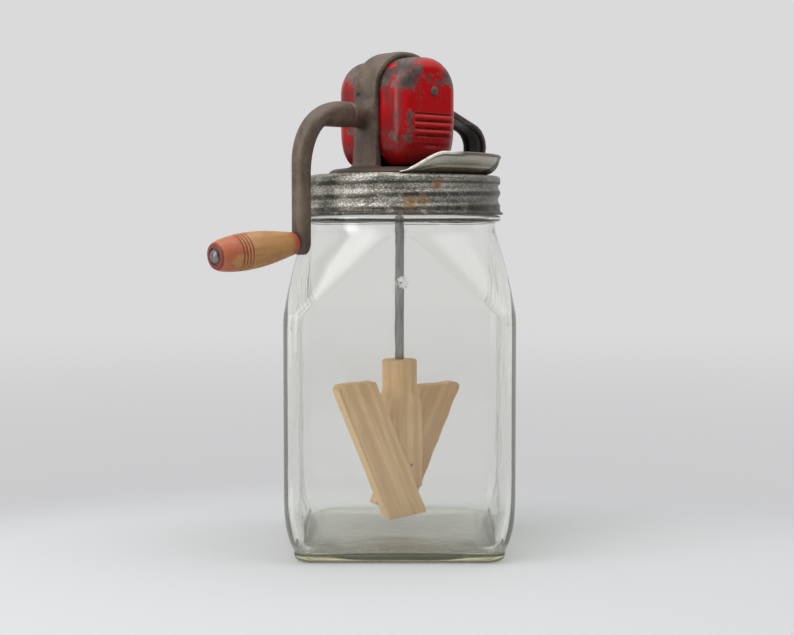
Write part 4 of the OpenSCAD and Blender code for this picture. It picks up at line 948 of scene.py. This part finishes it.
def paddle(name, length, side, rise_z, lean, cut, flip):
    """Slat built up from back to front, with its edges rounded over, then leant and set on the hub."""
    q = np.linspace(0, math.pi / 2, 6)
    insets = np.concatenate([edge_r * (1 - np.sin(q)), edge_r * (1 - np.cos(q))])
    depths = np.concatenate([edge_r * (1 - np.cos(q)), paddle_t - edge_r * (1 - np.sin(q))])
    x, z = np.moveaxis(np.array([paddle_outline(length, cut, inset) for inset in insets]), -1, 0)
    y = depths[:, None] + 0 * x
    own = np.stack([x, -y, z], -1)
    c, s = math.cos(lean), math.sin(lean)
    set_up = np.stack([c * x - s * z - side, -hub_half - y, s * x + c * z + hub_z + rise_z], -1)
    piece = surface(name, turned(set_up, dasher_turn + flip), caps=True, crease=35)
    board = own + np.array([37.0 * (1 + flip), 11.0, 53.0])
    keep_value(piece, "board", board * MM, "FLOAT_VECTOR", "vector")
    # Marks the left edge for its painted highlight.
    keep_value(piece, "lit_edge", ease(1 - (x + paddle_w / 2) / edge_r))
    return piece


front_slat = paddle("front_slat", 100.0, 23.2, 28.8, math.radians(22.5), math.radians(19.6), 0)
rear_slat = paddle("rear_slat", 94.0, 20.0, 25.3, math.radians(24), math.radians(27), math.pi)
maple, shader, where = new_finish("bare_maple", {"Roughness": 0.55})
board = read_value(where, "board", "Vector")
lines = use(grain, board, 230.0)
colour = tint(lines["Lines"], (0.67, 0.42, 0.21), (0.86, 0.61, 0.345))
wide = rise(noise(board, 38, 3), 0.35, 0.7)
colour = coat(colour, (0.66, 0.43, 0.22), wide, 0.4)
colour = coat(colour, (0.42, 0.26, 0.13), lines["Pores"], 0.3)
# Painted highlight: the left edges of the slats, towards the key lamp, are painted lighter and more orange.
colour = coat(colour, (0.88, 0.62, 0.33), read_value(where, "lit_edge"), 0.7)
wire(colour, shader.inputs["Base Color"])
bump(shader, less(lines["Lines"], lines["Pores"]), 0.15, 0.0003)
place(dasher_hub, "dasher", "maple", maple, "dasher_hub")
place(front_slat, "dasher", "maple", maple, "front_paddle")
place(rear_slat, "dasher", "maple", maple, "rear_paddle")

# The stage is a pale table that fades into a paper background of the same grey.
# Large soft lamps on the left, on the right and overhead light it, with a smaller one low on the left.
view_turn = math.radians(-42)
paper_tone = (0.7, 0.7, 0.708)
table_half, table_drop = 6000.0, 0.2


def from_view(x, y, z):
    """Point given to the right of, behind and over the jar as the camera sees it, in metres."""
    return turned(np.array([x, y, z]), view_turn)


floor_x, floor_y = np.meshgrid([-table_half, table_half], [-table_half, table_half])
floor = surface("floor", np.stack([floor_x, floor_y, 0 * floor_x - table_drop], -1), close_row=False)
if floor.data.polygons[0].normal.z < 0:
    floor.data.flip_normals()
paper_values = {"Base Color": (0.66, 0.672, 0.682), "Roughness": 0.9, "Specular IOR Level": 0.1}
paper, shader, where = new_finish("table_paper", paper_values)


def show(near):
    """Mask of rays that see the paper, and the tone of the studio in front: darker in mirrors and glass."""
    seen = new_node(near, "ShaderNodeLightPath").outputs
    mirrored = calc("MAXIMUM", seen["Is Glossy Ray"], seen["Is Transmission Ray"])
    front_tone = tint(seen["Is Transmission Ray"], (0.06, 0.06, 0.06), (0.42, 0.42, 0.42))
    front_tone = tint(seen["Is Camera Ray"], front_tone, paper_tone)
    return calc("MAXIMUM", seen["Is Camera Ray"], mirrored), front_tone


shown, front_tone = show(where)
glow = new_node(where, "ShaderNodeEmission")
away = reach(where, (0, 0, 0))
far_tone = tint(rise(away, 0.2, 2.2), (0.6, 0.6, 0.61), paper_tone)
from_back = reach(where, from_view(0, 4, 0) / MM)
wire(tint(rise(from_back, 4.6, 5.6), far_tone, front_tone), glow.inputs["Color"])
pool = reach(where, from_view(0, -0.3, 0) / MM)
mix_shaders(times(rise(pool, 0.40, 0.56), shown), shader, glow)
floor.data.materials.append(paper)

world = bpy.data.worlds.new("studio")
bpy.context.scene.world = world
world.use_nodes = True
ambient = world.node_tree.nodes["Background"]
fill(ambient, {"Color": (1, 1, 1), "Strength": 0.35})
shown, front_tone = show(ambient)
backdrop = new_node(ambient, "ShaderNodeBackground")
ahead = new_node(ambient, "ShaderNodeTexCoord").outputs["Generated"]
facing = new_node(ambient, "ShaderNodeVectorMath")
facing.operation = "DOT_PRODUCT"
behind = rise(fill(facing, {0: ahead, 1: from_view(0, 1, 0)})["Value"], -0.15, 0.4)
fill(backdrop, {"Color": tint(behind, front_tone, paper_tone)})
mix_shaders(shown, ambient, backdrop, "World Output")


def soft_lamp(name, spot, target, size, power):
    """Lamp at a spot, aimed at a target, both as the camera sees them; it is dark along its edges."""
    lamp = bpy.data.lights.new(name, "AREA")
    lamp.shape = "RECTANGLE"
    lamp.size, lamp.size_y = size
    lamp.energy = power
    lamp.use_nodes = True
    emission = lamp.node_tree.nodes["Emission"]
    u, v, _ = split(new_node(emission, "ShaderNodeNewGeometry").outputs["Parametric"])
    off_u = calc("ABSOLUTE", less(u, 0.5))
    off_v = calc("ABSOLUTE", less(v, 0.5))
    faded = times(rise(off_u, 0.5, 0.1), rise(off_v, 0.5, 0.1))
    wire(faded, emission.inputs["Strength"])
    holder = bpy.data.objects.new(name, lamp)
    spot, target = Vector(from_view(*spot)), Vector(from_view(*target))
    holder.location = spot
    holder.rotation_euler = (target - spot).to_track_quat("-Z", "Y").to_euler()
    bpy.context.scene.collection.objects.link(holder)


soft_lamp("key_lamp", (-1.1, -0.9, 1.2), (0, 0, 0.2), (2.4, 2.4), 44)
soft_lamp("side_lamp", (-1.15, -0.62, 0.42), (0, 0, 0.25), (0.8, 1.4), 10)
soft_lamp("fill_lamp", (1.0, -0.3, 1.5), (0, 0, 0.2), (2.1, 2.1), 15)
soft_lamp("top_lamp", (0.0, -0.1, 1.7), (0, 0, 0.2), (2.6, 2.6), 37)

photo_width_px, focal_px, sensor_mm, tilt_down = 794, 1500, 36, 3.64
lens = bpy.data.cameras.new("photo_camera")
lens.sensor_width = sensor_mm
lens.lens = focal_px * sensor_mm / photo_width_px
camera = bpy.data.objects.new("photo_camera", lens)
camera.location = (-0.6935, -0.7676, 0.2226)
camera.rotation_euler = (math.radians(90 - tilt_down), 0, view_turn)
bpy.context.scene.collection.objects.link(camera)
bpy.context.scene.camera = camera
bpy.context.scene.view_settings.view_transform = "Standard"
